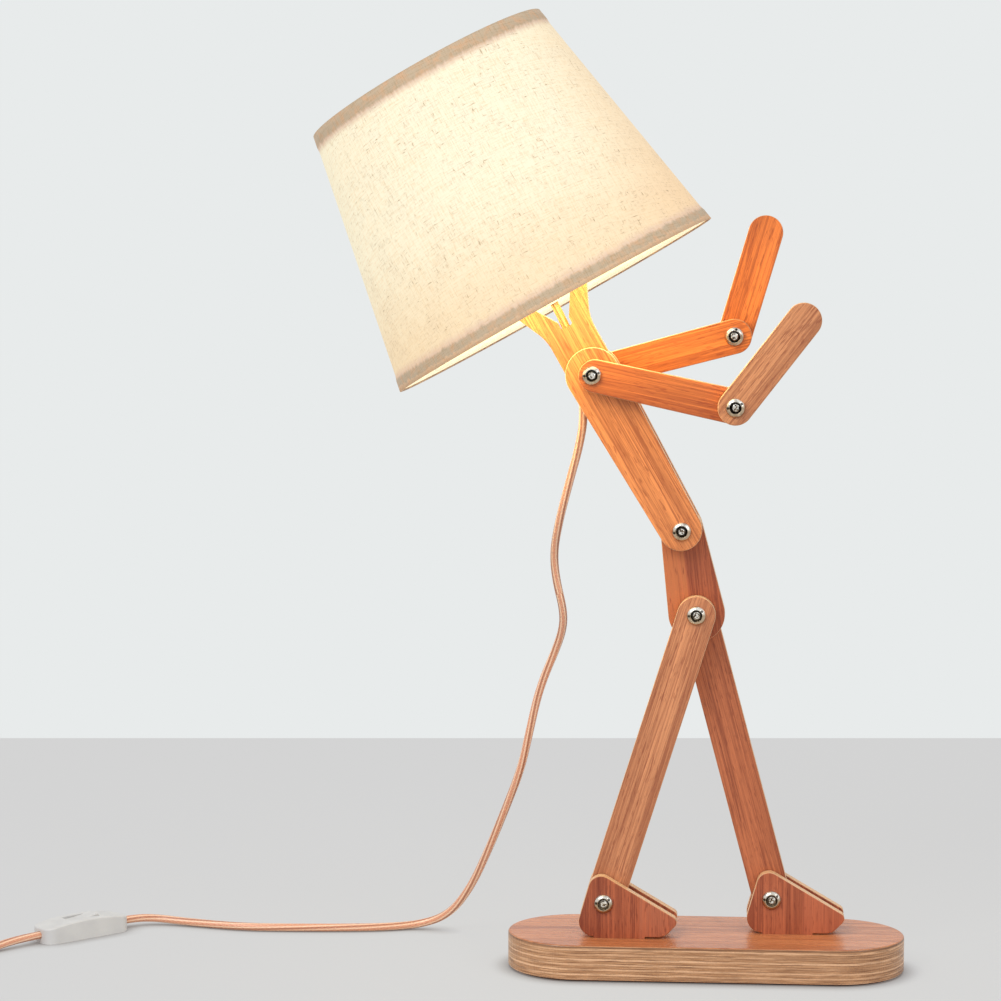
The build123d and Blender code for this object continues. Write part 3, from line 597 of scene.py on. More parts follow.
def grainTurned(vector, grain, kind):
    turned = beside([vector], "ShaderNodeMapping", vector_type=kind)
    dress(turned, {"Vector": vector, "Rotation": (0, math.radians(grain), 0)})
    return turned.outputs[0]


def darkened(tone, shares):
    return tint(*[level * share for level, share in zip(tone, shares)])


def veneerFinish(name, tone, grain, cut, ply=plywood["ply"], lying=False):
    finish, tree, shader = newFinish(name + "Veneer")
    coords = put(tree, "ShaderNodeTexCoord")
    turned = grainTurned(coords.outputs["Object"], grain, "POINT")
    grainway = vectorSum("ADD", turned, [cut * step for step in plywood["cutStep"]])
    polish, contrast = plywood["boardFace"] if lying else plywood["slatFace"]
    lift, added = plywood["pale"]
    pale = tint(*[min(level * lift + added, 255) for level in tone])
    deep = darkened(tone, plywood["deep"])
    latewood = darkened(tone, plywood["latewood"])

    figure = {}
    for kind, (along, across, detail, rough, warp) in figures.items():
        packed = (along, across, plywood["through"]) if lying else (along, plywood["through"], across)
        figure[kind] = noise(grainway, packed, detail, rough, warp)
    fibres, strips, streaks = figure["fibres"], figure["strips"], figure["streaks"]
    ringLine = offMiddle(times(figure["rings"], 7.0))
    closeLine = sums("ABSOLUTE", minus(figure["closeRings"], 0.5))
    poreDark = span(figure["pores"], 0.62, 0.72, 0.0, 0.7)
    colour = layered(
        mixed(span(figure["bands"], 0.3, 0.7), deep, pale),
        (0.5, tint(*tone)),
        (span(strips, 0.52, 0.62, 0.0, 0.5), pale),
        (span(strips, 0.48, 0.38, 0.0, 0.45), deep),
        (span(ringLine, 0.36, 0.5, 0.0, 0.55, smooth=True), deep),
        (span(closeLine, 0.0, 0.022, 0.7, 0.0), latewood),
        (span(fibres, 0.42, 0.68, 0.0, 0.55), deep),
        (span(fibres, 0.5, 0.25, 0.0, 0.45), pale),
        (poreDark, latewood),
    )
    if name in veneerJoints:
        meeting, side, leaf, cover = veneerJoints[name]
        seam = plywood["leafSeam"] * side
        leafSide = span(split(turned)[2], meeting - seam, meeting + seam, 0.0, cover)
        colour = mixed(leafSide, colour, tint(*leaf))
    colour = layered(
        colour,
        (span(streaks, 0.58, 0.68, 0.0, contrast), latewood),
        (span(streaks, 0.44, 0.32, 0.0, contrast), pale),
        (span(figure["flecks"], 0.62, 0.70, 0.0, 0.55), latewood),
    )

    # edges show the plies
    faceAxis = "Z" if lying else "Y"
    facing = split(grainTurned(coords.outputs["Normal"], grain, "VECTOR"))[faceAxis]
    flat = span(sums("ABSOLUTE", facing), 0.62, 0.8, smooth=True)
    edgePlies = boardEdge if lying else slatEdge
    edge = edgePlies(turned, split(turned)[faceAxis], ply)
    rough = span(fibres, 0.3, 0.7, polish - 0.06, polish + 0.08)
    face = mixed(flat, edge, colour)
    dress(shader, {"Base Color": face, "Roughness": rough, "Specular IOR Level": 0.45})
    relief(shader, minus(times(fibres, 0.5), poreDark), plywood["grainDepth"], 0.7)
    return finish


for slat, (tone, grain, cut) in slats.items():
    coat(slat, veneerFinish(slat, tone, grain, cut))
for board, (tone, grain, cut, ply) in flatBoards.items():
    coat(board, veneerFinish(board, tone, grain, cut, ply, lying=True))
print("veneers done")


# metal fittings
bolts = {
    "highlightTone": tint(255, 252, 244),
    "nickel": tint(212, 190, 162),
    "tarnish": tint(138, 116, 92),
    "shadow": tint(26, 19, 13),
    "ring": (0.0021, 0.0035),  # painted shade in the groove between the rim and the middle
    "waver": 0.0004,
    "notchOut": 0.0044,  # small marks outside the ring
    "notchSize": (0.0006, 0.0010),
    "depth": 0.00016,
}
boltFaces = {  # centres across, height, directions of the notches, strength of the painted shade in the groove, dullness
    "hip_bolt": ((-0.0063,), 0.217, (182, 40), 0.9, 0.0),
    "waist_bolt": ((-0.015384,), 0.267489, (190,), 0.95, 0.0),
    "shoulder_bolt": ((-0.068859,), 0.360861, (184, 20), 0.95, 0.0),
    "near_elbow_bolt": ((0.016176,), 0.342476, (183, 35), 1.0, 0.0),
    "far_elbow_bolt": ((0.015255,), 0.383085, (75,), 0.95, 0.0),
    "ankle_bolts": ((-0.061, 0.04), 0.0429, (172, 40), 0.7, 0.28),
}


def nearest(parts, places):  # distance to the nearest of some places on the face
    shortest = None
    for across, up in places:
        sideways = minus(parts[0], across)
        upward = minus(parts[2], up)
        squared = plus(times(sideways, sideways), times(upward, upward))
        distance = sums("SQRT", squared)
        shortest = distance if shortest is None else sums("MINIMUM", shortest, distance)
    return shortest


def notchPlace(across, up, direction):
    turned = math.radians(direction)
    return across + bolts["notchOut"] * math.cos(turned), up + bolts["notchOut"] * math.sin(turned)


def nickelFinish(name, centres, up, notches, darkness, dullness):
    finish, tree, shader = newFinish(name + "Nickel")
    coords = objectCoords(tree)
    parts = split(coords)
    away = nearest(parts, [(across, up) for across in centres])
    notch = nearest(parts, [notchPlace(across, up, way) for across in centres for way in notches])
    scuffs = evenNoise(coords, 900, detail=3)
    marks = evenNoise(coords, 380)
    facets = evenNoise(coords, 640, detail=1)

    wobble = plus(away, span(marks, 0.3, 0.7, -bolts["waver"], bolts["waver"]))
    low, high = bolts["ring"]
    rising = span(wobble, low - 0.0003, low + 0.0001)
    falling = span(wobble, high - 0.0002, high + 0.0002, 1.0, 0.0)
    # painted shade in the groove round the middle of each head
    paintedGrooveShade = times(times(rising, falling), darkness)
    inside = span(away, low - 0.0003, low, 1.0, 0.0)
    # painted shade in the key socket
    socket = times(inside, span(facets, 0.44, 0.38))
    dark = larger(paintedGrooveShade, times(socket, 0.85))
    dark = larger(dark, span(notch, *bolts["notchSize"], 0.92, 0.0))
    # painted highlight: the upper part of each head is lighter
    upperHighlight = over(minus(parts[2], up), larger(away, 0.001))
    # painted glints in the middle of each head
    middle = mixed(span(facets, 0.44, 0.54), bolts["tarnish"], bolts["highlightTone"])
    metal = layered(
        mixed(span(upperHighlight, 0.0, 0.6, smooth=True), bolts["nickel"], bolts["highlightTone"]),
        (dullness, bolts["tarnish"]),
        (span(scuffs, 0.4, 0.75, 0.0, 0.4), bolts["tarnish"]),
        (span(marks, 0.5, 0.68, 0.0, 0.5), bolts["tarnish"]),
        (times(inside, 0.9), middle),
        (dark, bolts["shadow"]),
    )
    rough = span(scuffs, 0.3, 0.8, 0.16, 0.3)
    dress(shader, {"Base Color": metal, "Metallic": 1.0, "Roughness": rough})
    lift = plus(times(scuffs, 0.25), times(facets, times(inside, 2.0)))
    relief(shader, minus(lift, dark), bolts["depth"], 0.8)
    return finish


for bolt, face in boltFaces.items():
    nut = bolt.replace("_bolt", "_nut")
    coat(bolt, nickelFinish(bolt, *face))
    coat(nut, nickelFinish(nut, *face))

fittings = {  # tone, dull tone, roughness, scale of the clouding, parts
    "washerSteel": (
        (214, 206, 190),
        (160, 150, 134),
        0.3,
        500,
        ("leg_washers", "torso_washers", "near_elbow_washer", "far_elbow_washer"),
    ),
    "zincSteel": (
        (196, 198, 196),
        (140, 142, 140),
        0.36,
        700,
        ("foot_screws", "plate_screws", "holder_nipple", "lock_nut"),
    ),
    "contactBrass": ((214, 178, 104), (160, 120, 60), 0.3, 600, ("holder_contacts",)),
    "pinBrass": ((226, 206, 156), (186, 160, 108), 0.26, 500, ("plug_pins",)),
}


def plainMetal(name, tone, dull, roughness, scale):
    finish, tree, shader = newFinish(name)
    coords = objectCoords(tree)
    cloud = evenNoise(coords, scale, detail=4, rough=0.6)
    colour = mixed(span(cloud, 0.35, 0.7), tint(*tone), tint(*dull))
    rough = span(cloud, 0.3, 0.7, roughness - 0.06, roughness + 0.1)
    dress(shader, {"Base Color": colour, "Metallic": 1.0, "Roughness": rough})
    relief(shader, evenNoise(coords, scale * 6), 0.00003, 0.6)
    return finish


for metal, (*look, parts) in fittings.items():
    metalFinish = plainMetal(metal, *look)
    for part in parts:
        coat(part, metalFinish)
print("fittings done")


# the shade, in the head's own frame: across, front to back, then up the lampholder
headUp = (-0.4894, 0.0, 0.8721)
headAcross = (0.8721, 0.0, 0.4894)
shoulder = (-0.068859, 0.0, 0.360861)
headTurn = Matrix((headAcross, (0.0, 1.0, 0.0), headUp)).transposed().to_4x4()
headPlace = Matrix.Translation(shoulder) @ headTurn
bulbMiddle = headPlace @ Vector((0.0, 0.0, 0.16455))

cone = {
    "bottomRadius": 0.106,
    "topRadius": 0.077,
    "bottom": 0.047,
    "top": 0.205,
    "cloth": 0.0008,
    "around": 192,
    "rows": 47,
    "lean": -0.75,  # the shade sits a little crooked on its holder, degrees
    "hem": 0.0072,
    "hemSwell": 0.0005,
    "hemSlope": 0.0025,
    "wire": 0.0015,
    "ringHeight": 0.0500,
    "topRingHeight": 0.2026,
    "ringInside": 0.0032,
    "roll": 0.00045,
    "rollInside": 0.0004,
}
middle = (cone["bottom"] + cone["top"]) / 2
crooked = Matrix.Rotation(math.radians(cone["lean"]), 4, "X")
conePlace = headPlace @ Matrix.Translation((0, 0, middle)) @ crooked @ Matrix.Translation((0, 0, -middle))

linen = {
    "tone": tint(199, 185, 171),
    "greyPatch": tint(190, 180, 172),
    "slub": tint(142, 118, 76),
    "warmThread": tint(212, 182, 144),
    "hemCloth": tint(190, 171, 146),
    "hemPatch": tint(206, 168, 134),
    "longThread": (1350, 16, 0.6),  # how tightly each packs across and along itself, then its roughness
    "shortThread": (1500, 170, 0.5),
    "slubThread": (1000, 230, 0.5),
    "sheen": {"Specular IOR Level": 0.15, "Sheen Weight": 0.1, "Sheen Roughness": 0.5},
    "weaveDepth": 0.00022,
    "fray": 0.0008,
    "lampReach": (0.092, 0.150),  # the lamplight through the cloth fades between these distances
    "sideReach": (0.17, 0.22),
    "hemEdge": (0.0066, 0.0088),
    "hemGlowEdge": (0.0076, 0.0135),
    "topHemGlowEdge": (0.0076, 0.0125),
    "foldEdge": (0.0022, 0.0032),
    "glowNear": (0.46, 0.45, 0.29, 1.0),
    "glowFar": (0.42, 0.30, 0.11, 1.0),
    "glowSide": (0.43, 0.22, 0.02, 1.0),
    "glowThin": (0.20, 0.13, 0.05, 1.0),
    "glowSlub": (0.10, 0.06, 0.02, 1.0),
    "glowHemEdge": (0.24, 0.105, 0.025, 1.0),
    "glowTopHemEdge": (0.20, 0.085, 0.025, 1.0),
    "glowHem": (0.030, 0.020, 0.010, 1.0),
    "glowTopHem": (0.035, 0.020, 0.010, 1.0),
    "glowFold": (0.20, 0.10, 0.045, 1.0),
}


def spinRound(shape, geom, steps, start=0):
    bmesh.ops.spin(
        shape, geom=geom, cent=(0, 0, 0), axis=(0, 0, 1), angle=math.tau, steps=steps, use_merge=True
    )
    bmesh.ops.remove_doubles(shape, verts=shape.verts[start:], dist=1e-6)


def spunWall(low, high, rows, around):  # low and high are radius and height
    shape = bmesh.new()
    foot = shape.verts.new((0, low[0], low[1]))
    head = shape.verts.new((0, high[0], high[1]))
    side = shape.edges.new((foot, head))
    bmesh.ops.subdivide_edges(shape, edges=[side], cuts=rows)
    spinRound(shape, shape.verts[:] + shape.edges[:], around)
    bmesh.ops.recalc_face_normals(shape, faces=shape.faces)
    shape.faces.ensure_lookup_table()
    first = shape.faces[0]
    centre = first.calc_center_median()
    if first.normal.dot(Vector((centre.x, centre.y, 0))) < 0:
        bmesh.ops.reverse_faces(shape, faces=shape.faces)
    return shape


def finishPiece(name, shape, finish):
    bmesh.ops.transform(shape, matrix=conePlace, verts=shape.verts)
    mesh = bpy.data.meshes.new(name)
    shape.to_mesh(mesh)
    shape.free()
    mesh.materials.append(finish)
    mesh.shade_smooth()
    piece = addObject(name, mesh)
    return piece


def thicken(piece, name, thickness):
    wall = piece.modifiers.new(name, "SOLIDIFY")
    wall.thickness = thickness
    wall.offset = -1


def unrollCone(shape, low, high):  # the cloth's own threads, as the flat pattern was cut
    slant = math.hypot(high[0] - low[0], high[1] - low[1])
    lean = (low[0] - high[0]) / slant
    wrap = shape.loops.layers.uv.new("threads")
    rise = shape.loops.layers.uv.new("slant")
    for face in shape.faces:
        centre = face.calc_center_median()
        facing = math.atan2(centre.x, -centre.y)
        for corner in face.loops:
            place = corner.vert.co
            angle = math.atan2(place.x, -place.y)
            angle += round((facing - angle) / math.tau) * math.tau
            climbed = (place.z - low[1]) / (high[1] - low[1]) * slant
            reach = low[0] / lean - climbed
            corner[wrap].uv = (reach * math.sin(angle * lean), reach * math.cos(angle * lean))
            corner[rise].uv = (angle / math.tau + 0.5, climbed)


def crossed(threads, tight, loose, rough):  # the same threads across and along the cloth
    warp = noise(threads, (tight, loose, 1), rough=rough)
    return warp, noise(threads, (loose, tight, 1), rough=rough)


def halfway(first, second):
    return times(plus(first, second), 0.5)


def linenFinish():
    finish, tree, shader = newFinish("shadeLinen")
    threads = uvCoords(tree, "threads")
    coords = objectCoords(tree)
    longThreads = halfway(*crossed(threads, *linen["longThread"]))
    shortThreads = halfway(*crossed(threads, *linen["shortThread"]))
    slubs = larger(*crossed(threads, *linen["slubThread"]))
    longSlub = noise(threads, (1000, 75, 1), detail=1)
    patches = noise(threads, (70, 70, 1), detail=3)
    weave = halfway(longThreads, shortThreads)
    thin = span(weave, 0.515, 0.415)  # where the threads lie thin the cloth looks browner
    darkSlub = larger(span(slubs, 0.68, 0.76), span(longSlub, 0.70, 0.80))
    faintSlub = times(span(slubs, 0.56, 0.72), 0.40)
    slub = sums("ADD", faintSlub, times(darkSlub, 0.60), clamp=True)
    slub = times(slub, span(patches, 0.30, 0.60, 0.25, 1.0))
    cloth = layered(
        linen["tone"],
        (times(thin, 0.45), linen["warmThread"]),
        (span(patches, 0.45, 0.7, 0.0, 0.35), linen["greyPatch"]),
        (times(slub, 0.75), linen["slub"]),
    )

    # lamplight through the cloth, and less of it through the doubled hems
    away = vectorSum("DISTANCE", coords, bulbMiddle, "Value")
    away = plus(away, span(patches, 0.3, 0.7, -0.006, 0.006))
    toSide = vectorSum("DOT_PRODUCT", coords, headAcross, "Value")
    fray = noise(threads, (420, 60, 1), detail=3)
    fray = span(fray, 0.3, 0.7, -linen["fray"], linen["fray"])
    fromLow = plus(split(uvCoords(tree, "slant"))[1], fray)
    slant = math.hypot(cone["top"] - cone["bottom"], cone["bottomRadius"] - cone["topRadius"])
    fromTop = minus(slant, fromLow)
    hemLow = fade(fromLow, *linen["hemEdge"])
    hemTop = fade(fromTop, *linen["hemEdge"])
    glow = layered(
        linen["glowNear"],
        (span(away, *linen["lampReach"], smooth=True), linen["glowFar"]),
        (span(toSide, *linen["sideReach"], 0.0, 0.65, smooth=True), linen["glowSide"]),
        (times(thin, 0.42), linen["glowThin"]),
        (slub, linen["glowSlub"]),
        (fade(fromLow, *linen["hemGlowEdge"]), linen["glowHemEdge"]),
        (fade(fromTop, *linen["topHemGlowEdge"]), linen["glowTopHemEdge"]),
        (hemLow, linen["glowHem"]),
        (hemTop, linen["glowTopHem"]),
        (fade(fromLow, *linen["foldEdge"]), linen["glowFold"]),
    )

    hem = larger(hemLow, hemTop)
    blotch = noise(threads, (190, 190, 1), detail=3, rough=0.6)
    hemCloth = mixed(span(blotch, 0.45, 0.68), linen["hemCloth"], linen["hemPatch"])
    cloth = layered(cloth, (hem, hemCloth), (times(times(hem, thin), 0.35), linen["slub"]))
    rough = span(weave, 0.4, 0.6, 0.95, 0.8)
    dress(shader, {"Base Color": cloth, "Roughness": rough, **linen["sheen"]})
    selfLit(finish, shader, glow)
    relief(shader, plus(weave, times(slub, 0.6)), linen["weaveDepth"], 0.8)
    return finish


def shadeCover():
    low = (cone["bottomRadius"], cone["bottom"])
    high = (cone["topRadius"], cone["top"])
    shape = spunWall(low, high, cone["rows"], cone["around"])
    unrollCone(shape, low, high)
    for corner in shape.verts:  # doubled cloth at the hems stands a little proud
        fromEdge = min(corner.co.z - cone["bottom"], cone["top"] - corner.co.z)
        swell = min(max(1 - (fromEdge - cone["hem"]) / cone["hemSlope"], 0), 1) * cone["hemSwell"]
        corner.co += Vector((corner.co.x, corner.co.y, 0)).normalized() * swell
    piece = finishPiece("shadeCover", shape, linenFinish())
    thicken(piece, "cloth", cone["cloth"])
    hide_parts("shade_cover")
    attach(piece, "head")


liner = {
    "short": 0.0010,
    "inside": 0.0009,
    "wall": 0.0005,
    "rows": 15,
    "around": 128,
    "tone": tint(232, 222, 200),
    "dull": tint(222, 208, 180),
    "lampReach": (0.09, 0.16),
    "glowNear": (0.70, 0.67, 0.49, 1.0),
    "glowFar": (0.60, 0.56, 0.38, 1.0),
}


def linerFinish():
    finish, tree, shader = newFinish("shadeLiner")
    coords = objectCoords(tree)
    away = vectorSum("DISTANCE", coords, bulbMiddle, "Value")
    cloud = evenNoise(coords, 140, detail=3)
    tone = mixed(span(cloud, 0.35, 0.7, 0.0, 0.5), liner["tone"], liner["dull"])
    dress(shader, {"Base Color": tone, "Roughness": 0.5})
    farther = span(away, *liner["lampReach"], smooth=True)
    selfLit(finish, shader, mixed(farther, liner["glowNear"], liner["glowFar"]))
    relief(shader, cloud, 0.0001, 0.4)
    return finish


def shadeLiner():
    narrowing = (cone["bottomRadius"] - cone["topRadius"]) / (cone["top"] - cone["bottom"]) * liner["short"]
    low = (cone["bottomRadius"] - narrowing - liner["inside"], cone["bottom"] + liner["short"])
    high = (cone["topRadius"] + narrowing - liner["inside"], cone["top"] - liner["short"])
    shape = spunWall(low, high, liner["rows"], liner["around"])
    piece = finishPiece("shadeLiner", shape, linerFinish())
    thicken(piece, "wall", liner["wall"])
    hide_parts("shade_liner")
    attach(piece, "head")


def rollFinish():
    finish, tree, shader = newFinish("rolledEdge")
    coords = objectCoords(tree)
    yarn = evenNoise(coords, 900, detail=3)
    patch = evenNoise(coords, 70)
    # painted shade: the turned-over cloth is darker than the cover's linen
    cloth = mixed(span(yarn, 0.35, 0.7), tint(158, 136, 128), tint(126, 104, 96))
    cloth = mixed(span(patch, 0.4, 0.7, 0.0, 0.7), cloth, tint(198, 180, 166))
    dress(shader, {"Base Color": cloth, "Roughness": 0.9})
    relief(shader, yarn, 0.0001, 0.6)
    return finish


def hoop(shape, radius, height, thick, steps=160, sides=12):  # a round wire or roll, bent into a ring
    start = len(shape.verts)
    place = Matrix.Translation((radius, 0, height)) @ Matrix.Rotation(math.pi / 2, 4, "X")
    ring = bmesh.ops.create_circle(shape, cap_ends=False, segments=sides, radius=thick, matrix=place)["verts"]
    edges = {edge for corner in ring for edge in corner.link_edges}
    spinRound(shape, ring + list(edges), steps, start)


def rolledEdge(name, radius, height, finish):  # cloth turned over at the rim
    shape = bmesh.new()
    hoop(shape, radius, height, cone["roll"], steps=192, sides=8)
    bmesh.ops.recalc_face_normals(shape, faces=shape.faces)
    piece = finishPiece(name, shape, finish)
    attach(piece, "head")


def wireFinish():
    finish, tree, shader = newFinish("wireEnamelLamplit")
    cloud = evenNoise(objectCoords(tree), 300, detail=4, rough=0.6)
    enamel = mixed(span(cloud, 0.35, 0.7), tint(240, 234, 216), tint(222, 210, 186))
    dress(shader, {"Base Color": enamel, "Roughness": span(cloud, 0.3, 0.7, 0.34, 0.5)})
    # painted lamplight: the wire glows as if the bulb lit it
    selfLit(finish, shader, (0.42, 0.40, 0.27, 1.0))
    relief(shader, cloud, 0.00004, 0.5)
    return finish


def ringRadius(height):
    fall = (height - cone["bottom"]) / (cone["top"] - cone["bottom"])
    return cone["bottomRadius"] + (cone["topRadius"] - cone["bottomRadius"]) * fall - cone["ringInside"]


spider = {
    "hub": ((0.0198, 0.0900), (0.0255, 0.0900), (0.0255, 0.0915), (0.0198, 0.0915)),  # radius, height
    "hubSteps": 72,
    "hubRound": 0.0003,
    "sharp": 1.0,  # least angle of an edge that is rounded
    "spokes": (30, 150, 270),
    "spokeSides": 10,
    "spokeThick": 0.00138,
    "spokeLine": (
        (0.0236, 0.0913),
        (0.0280, 0.0905),
        (0.0360, 0.0850),
        (0.0640, 0.0700),
        (0.0920, 0.0549),
        (0.0985, 0.0516),
    ),
    "spokeEnd": 0.0002,  # its end stands this far over the ring's middle
}


def hubRing(shape):
    start = len(shape.verts)
    corners = [shape.verts.new((radius, 0, height)) for radius, height in spider["hub"]]
    edges = [shape.edges.new(pair) for pair in zip(corners, corners[1:] + corners[:1])]
    spinRound(shape, corners + edges, spider["hubSteps"], start)
    inner, outer = spider["hub"][0][0] - 0.001, spider["hub"][1][0] + 0.001
    rims = [
        edge
        for edge in shape.edges
        if all(inner < corner.co.xy.length < outer for corner in edge.verts)
        and len(edge.link_faces) == 2
        and edge.calc_face_angle(0) > spider["sharp"]
    ]
    bmesh.ops.bevel(
        shape,
        geom=rims,
        offset=spider["hubRound"],
        offset_type="OFFSET",
        affect="EDGES",
        segments=2,
        profile=0.5,
        material=-1,
    )


def spoke(shape, turn):
    path = [*spider["spokeLine"], (ringRadius(cone["ringHeight"]), cone["ringHeight"] + spider["spokeEnd"])]
    last = len(path) - 1
    rings = []
    for place, (radius, height) in enumerate(path):
        before, after = path[max(place - 1, 0)], path[min(place + 1, last)]
        tilt = math.pi / 2 - math.atan2(after[1] - before[1], after[0] - before[0])
        section = bmesh.ops.create_circle(
            shape,
            cap_ends=place in (0, last),
            segments=spider["spokeSides"],
            radius=spider["spokeThick"],
            matrix=turn @ Matrix.Translation((radius, 0, height)) @ Matrix.Rotation(tilt, 4, "Y"),
        )
        rings.append(section["verts"])
    for lower, upper in zip(rings[:-1], rings[1:]):
        loops = []
        for ring in (lower, upper):
            edges = {edge for corner in ring for edge in corner.link_edges}
            loops += [edge for edge in edges if all(end in ring for end in edge.verts)]
        bmesh.ops.bridge_loops(shape, edges=loops)


def shadeFrame(finish):  # hub, three spokes and the ring in the bottom hem
    shape = bmesh.new()
    hoop(shape, ringRadius(cone["ringHeight"]), cone["ringHeight"], cone["wire"])
    hubRing(shape)
    for angle in spider["spokes"]:
        spoke(shape, Matrix.Rotation(math.radians(angle), 4, "Z"))
    bmesh.ops.recalc_face_normals(shape, faces=shape.faces)
    piece = finishPiece("shadeFrame", shape, finish)
    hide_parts("shade_frame")
    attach(piece, "head")


def topRing(finish):
    shape = bmesh.new()
    hoop(shape, ringRadius(cone["topRingHeight"]), cone["topRingHeight"], cone["wire"])
    bmesh.ops.recalc_face_normals(shape, faces=shape.faces)
    piece = finishPiece("shadeTopRing", shape, finish)
    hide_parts("shade_top_ring")
    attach(piece, "head")


wireEnamelLamplit = wireFinish()
shadeFrame(wireEnamelLamplit)
topRing(wireEnamelLamplit)
shadeCover()
shadeLiner()
shadedRollCloth = rollFinish()
inward = cone["rollInside"]
rolledEdge("shadeRollBottom", cone["bottomRadius"] - inward, cone["bottom"] + inward, shadedRollCloth)
rolledEdge("shadeRollTop", cone["topRadius"] - inward, cone["top"] - inward, shadedRollCloth)
print("shade done")


# lampholder, bulb, switch, plug and pad
mouldings = {  # tone, deeper tone, roughness, size and depth of the grain, own light, parts
    "holderPlastic": (
        (240, 238, 232),
        (228, 224, 214),
        0.4,
        2500,
        0.00002,
        None,
        ("holder_cap", "holder_body", "shade_clamp_ring", "cord_grip"),
    ),
    "ceramicCore": ((236, 230, 220), (222, 212, 196), 0.28, 600, 0.00002, None, ("holder_core",)),
    "frostedGlass": (
        (255, 250, 238),
        (255, 246, 226),
        0.35,
        1200,
        0.00002,
        (1.0, 0.86, 0.58, 1.0),
        ("bulb_glass",),
    ),
    "switchPlastic": (
        (207, 206, 205),
        (200, 199, 199),
        0.38,
        900,
        0.000004,
        None,
        ("switch_lower_case", "switch_upper_case", "switch_rocker", "plug_body"),
    ),
    "padRubber": ((52, 50, 48), (38, 36, 34), 0.8, 900, 0.0002, None, ("base_pad",)),
}


def mouldedFinish(name, tone, deeper, roughness, grainSize, depth, glow):
    finish, tree, shader = newFinish(name)
    coords = objectCoords(tree)
    cloud = evenNoise(coords, 90, detail=3)
    colour = mixed(span(cloud, 0.35, 0.7), tint(*tone), tint(*deeper))
    rough = span(cloud, 0.3, 0.7, roughness - 0.05, roughness + 0.08)
    dress(shader, {"Base Color": colour, "Roughness": rough})
    if glow is not None:
        selfLit(finish, shader, glow)
    relief(shader, evenNoise(coords, grainSize), depth, 0.6)
    return finish


for moulding, (*look, parts) in mouldings.items():
    moulded = mouldedFinish(moulding, *look)
    for part in parts:
        coat(part, moulded)

bulbCap = {"pitch": 0.0036, "threadDepth": 0.0004, "tone": tint(206, 206, 208), "dull": tint(168, 168, 172)}


def bulbCapFinish():
    finish, tree, shader = newFinish("bulbCapAluminium")
    coords = objectCoords(tree)
    climbed = vectorSum("DOT_PRODUCT", coords, headUp, "Value")
    thread = sums("SINE", times(climbed, math.tau / bulbCap["pitch"]))
    cloud = evenNoise(coords, 400, detail=3)
    aluminium = mixed(span(cloud, 0.3, 0.7), bulbCap["tone"], bulbCap["dull"])
    dress(shader, {"Base Color": aluminium, "Metallic": 1.0, "Roughness": 0.3})
    relief(shader, thread, bulbCap["threadDepth"], 0.6)
    return finish


coat("bulb_cap", bulbCapFinish())
print("lampholder, bulb, switch, plug and pad done")


# desk, backdrop and lamps
studio = {
    "desk": tint(214, 214, 214),
    "deskShares": (0.95, 0.935),  # of its tone, for the light and dark of its clouding
    "deskEdge": (-0.1906, 0.833),
    "deskTurn": 4.5,
    "deskReach": 7.0,
    "deskUnder": 0.00005,
    "wall": tint(232, 235, 235),
    "roomLight": 0.72,
    "deskOwnTone": 0.82,
    "contact": 0.013,  # how far the soft shadow round the base spreads
    "contactTone": tint(96, 82, 74),
    "aim": (-0.08, 0.0, 0.28),
}


def blendShaders(tree, amount, first, second, output):
    blend = put(tree, "ShaderNodeMixShader")
    feed(amount, blend.inputs["Fac"])
    feed(first.outputs[0], blend.inputs[1])
    feed(second.outputs[0], blend.inputs[2])
    feed(blend.outputs[0], tree.nodes[output].inputs["Surface"])


def deskFinish():
    finish, tree, shader = newFinish("deskTop")
    cloud = evenNoise(objectCoords(tree), 4)
    light, dark = [shade(studio["desk"], share) for share in studio["deskShares"]]
    matt = mixed(span(cloud, 0.3, 0.7), light, dark)
    dress(shader, {"Base Color": matt, "Roughness": 0.9, "Specular IOR Level": 0.1})
    even = put(tree, "ShaderNodeEmission")
    nearby = put(tree, "ShaderNodeAmbientOcclusion", samples=8)
    nearby.inputs["Distance"].default_value = studio["contact"]
    underneath = span(nearby.outputs["AO"], 0.3, 0.95, 0.15, 1.0)
    feed(mixed(underneath, studio["contactTone"], studio["desk"]), even.inputs["Color"])
    seen = put(tree, "ShaderNodeLightPath").outputs["Is Camera Ray"]
    blendShaders(tree, times(seen, studio["deskOwnTone"]), shader, even, "Material Output")
    finish.cycles.emission_sampling = "NONE"
    return finish


def layDesk():
    reach = studio["deskReach"]
    shape = bmesh.new()
    bmesh.ops.create_grid(shape, x_segments=12, y_segments=12, size=1.0)
    bmesh.ops.translate(shape, vec=(0, -1, 0), verts=shape.verts)
    bmesh.ops.scale(shape, vec=(reach, reach / 2, 1), verts=shape.verts)
    turn = Matrix.Rotation(math.radians(studio["deskTurn"]), 3, "Z")
    bmesh.ops.rotate(shape, matrix=turn, verts=shape.verts)
    bmesh.ops.translate(shape, vec=(*studio["deskEdge"], -studio["deskUnder"]), verts=shape.verts)
    mesh = bpy.data.meshes.new("desk")
    shape.to_mesh(mesh)
    shape.free()
    mesh.materials.append(deskFinish())
    addObject("desk", mesh)


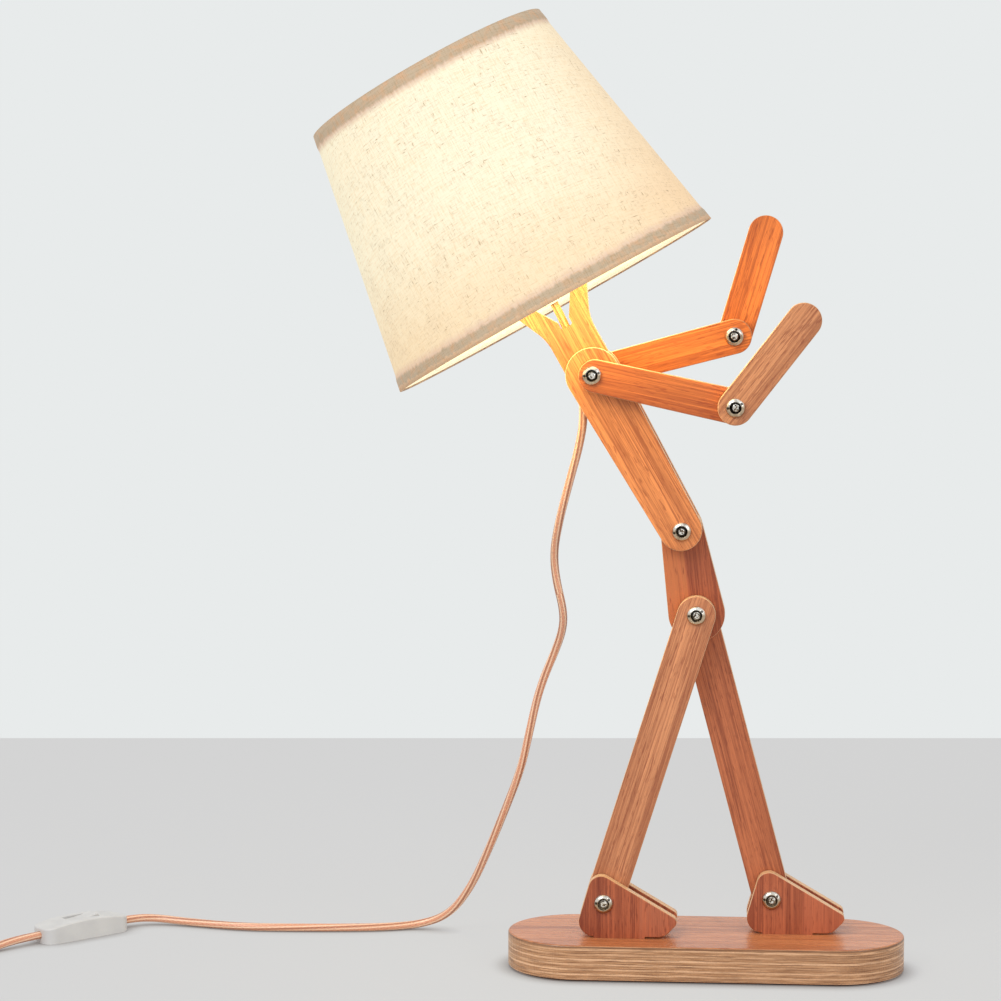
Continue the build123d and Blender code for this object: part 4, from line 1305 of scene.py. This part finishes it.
def lightRoom():
    room = bpy.data.worlds.new("room")
    scene.world = room
    room.use_nodes = True
    tree = room.node_tree
    light = tree.nodes["Background"]
    light.inputs["Color"].default_value = (1.0, 1.0, 1.0, 1.0)
    light.inputs["Strength"].default_value = studio["roomLight"]
    wall = put(tree, "ShaderNodeBackground")
    wall.inputs["Color"].default_value = studio["wall"]
    path = put(tree, "ShaderNodeLightPath")
    seen = larger(path.outputs["Is Camera Ray"], path.outputs["Is Glossy Ray"])
    seen = larger(seen, path.outputs["Is Transmission Ray"])
    blendShaders(tree, seen, light, wall, "World Output")


softboxes = {  # place, width, power
    "windowSoftbox": ((-1.3, -1.9, 2.1), 1.4, 35.0),
    "sideSoftbox": ((1.6, -1.4, 1.2), 1.0, 9.0),
}


def addSoftboxes():
    for name, (place, size, power) in softboxes.items():
        lamp = bpy.data.lights.new(name, "AREA")
        lamp.shape = "SQUARE"
        lamp.size = size
        lamp.energy = power
        box = addObject(name, lamp)
        box.location = place
        aimAt(box, studio["aim"])


bulbLight = {
    "colour": (1.0, 0.80, 0.40),
    "power": 0.40,
    "radius": 0.032,
    "mouthColour": (1.0, 0.84, 0.36),
    "mouthPower": 0.47,
    "mouthRadius": 0.080,
    "mouthPlace": (0, -0.018, 0.050),
}


def lightBulb():
    lamp = bpy.data.lights.new("bulbLight", "POINT")
    lamp.color = bulbLight["colour"]
    lamp.energy = bulbLight["power"]
    lamp.shadow_soft_size = bulbLight["radius"]
    glow = addObject("bulbLight", lamp)
    glow.location = bulbMiddle
    spill = bpy.data.lights.new("mouthLight", "AREA")
    spill.shape = "DISK"
    spill.size = bulbLight["mouthRadius"] * 2
    spill.color = bulbLight["mouthColour"]
    spill.energy = bulbLight["mouthPower"]
    mouth = addObject("mouthLight", spill)
    mouth.matrix_world = headPlace @ Matrix.Translation(bulbLight["mouthPlace"])
    mouth.visible_glossy = False
    for light in (glow, mouth):
        light.parent = bodies["head"]
        light.visible_camera = False


layDesk()
lightRoom()
addSoftboxes()
lightBulb()
scene.view_settings.view_transform = "Standard"
print("desk and lamps done")
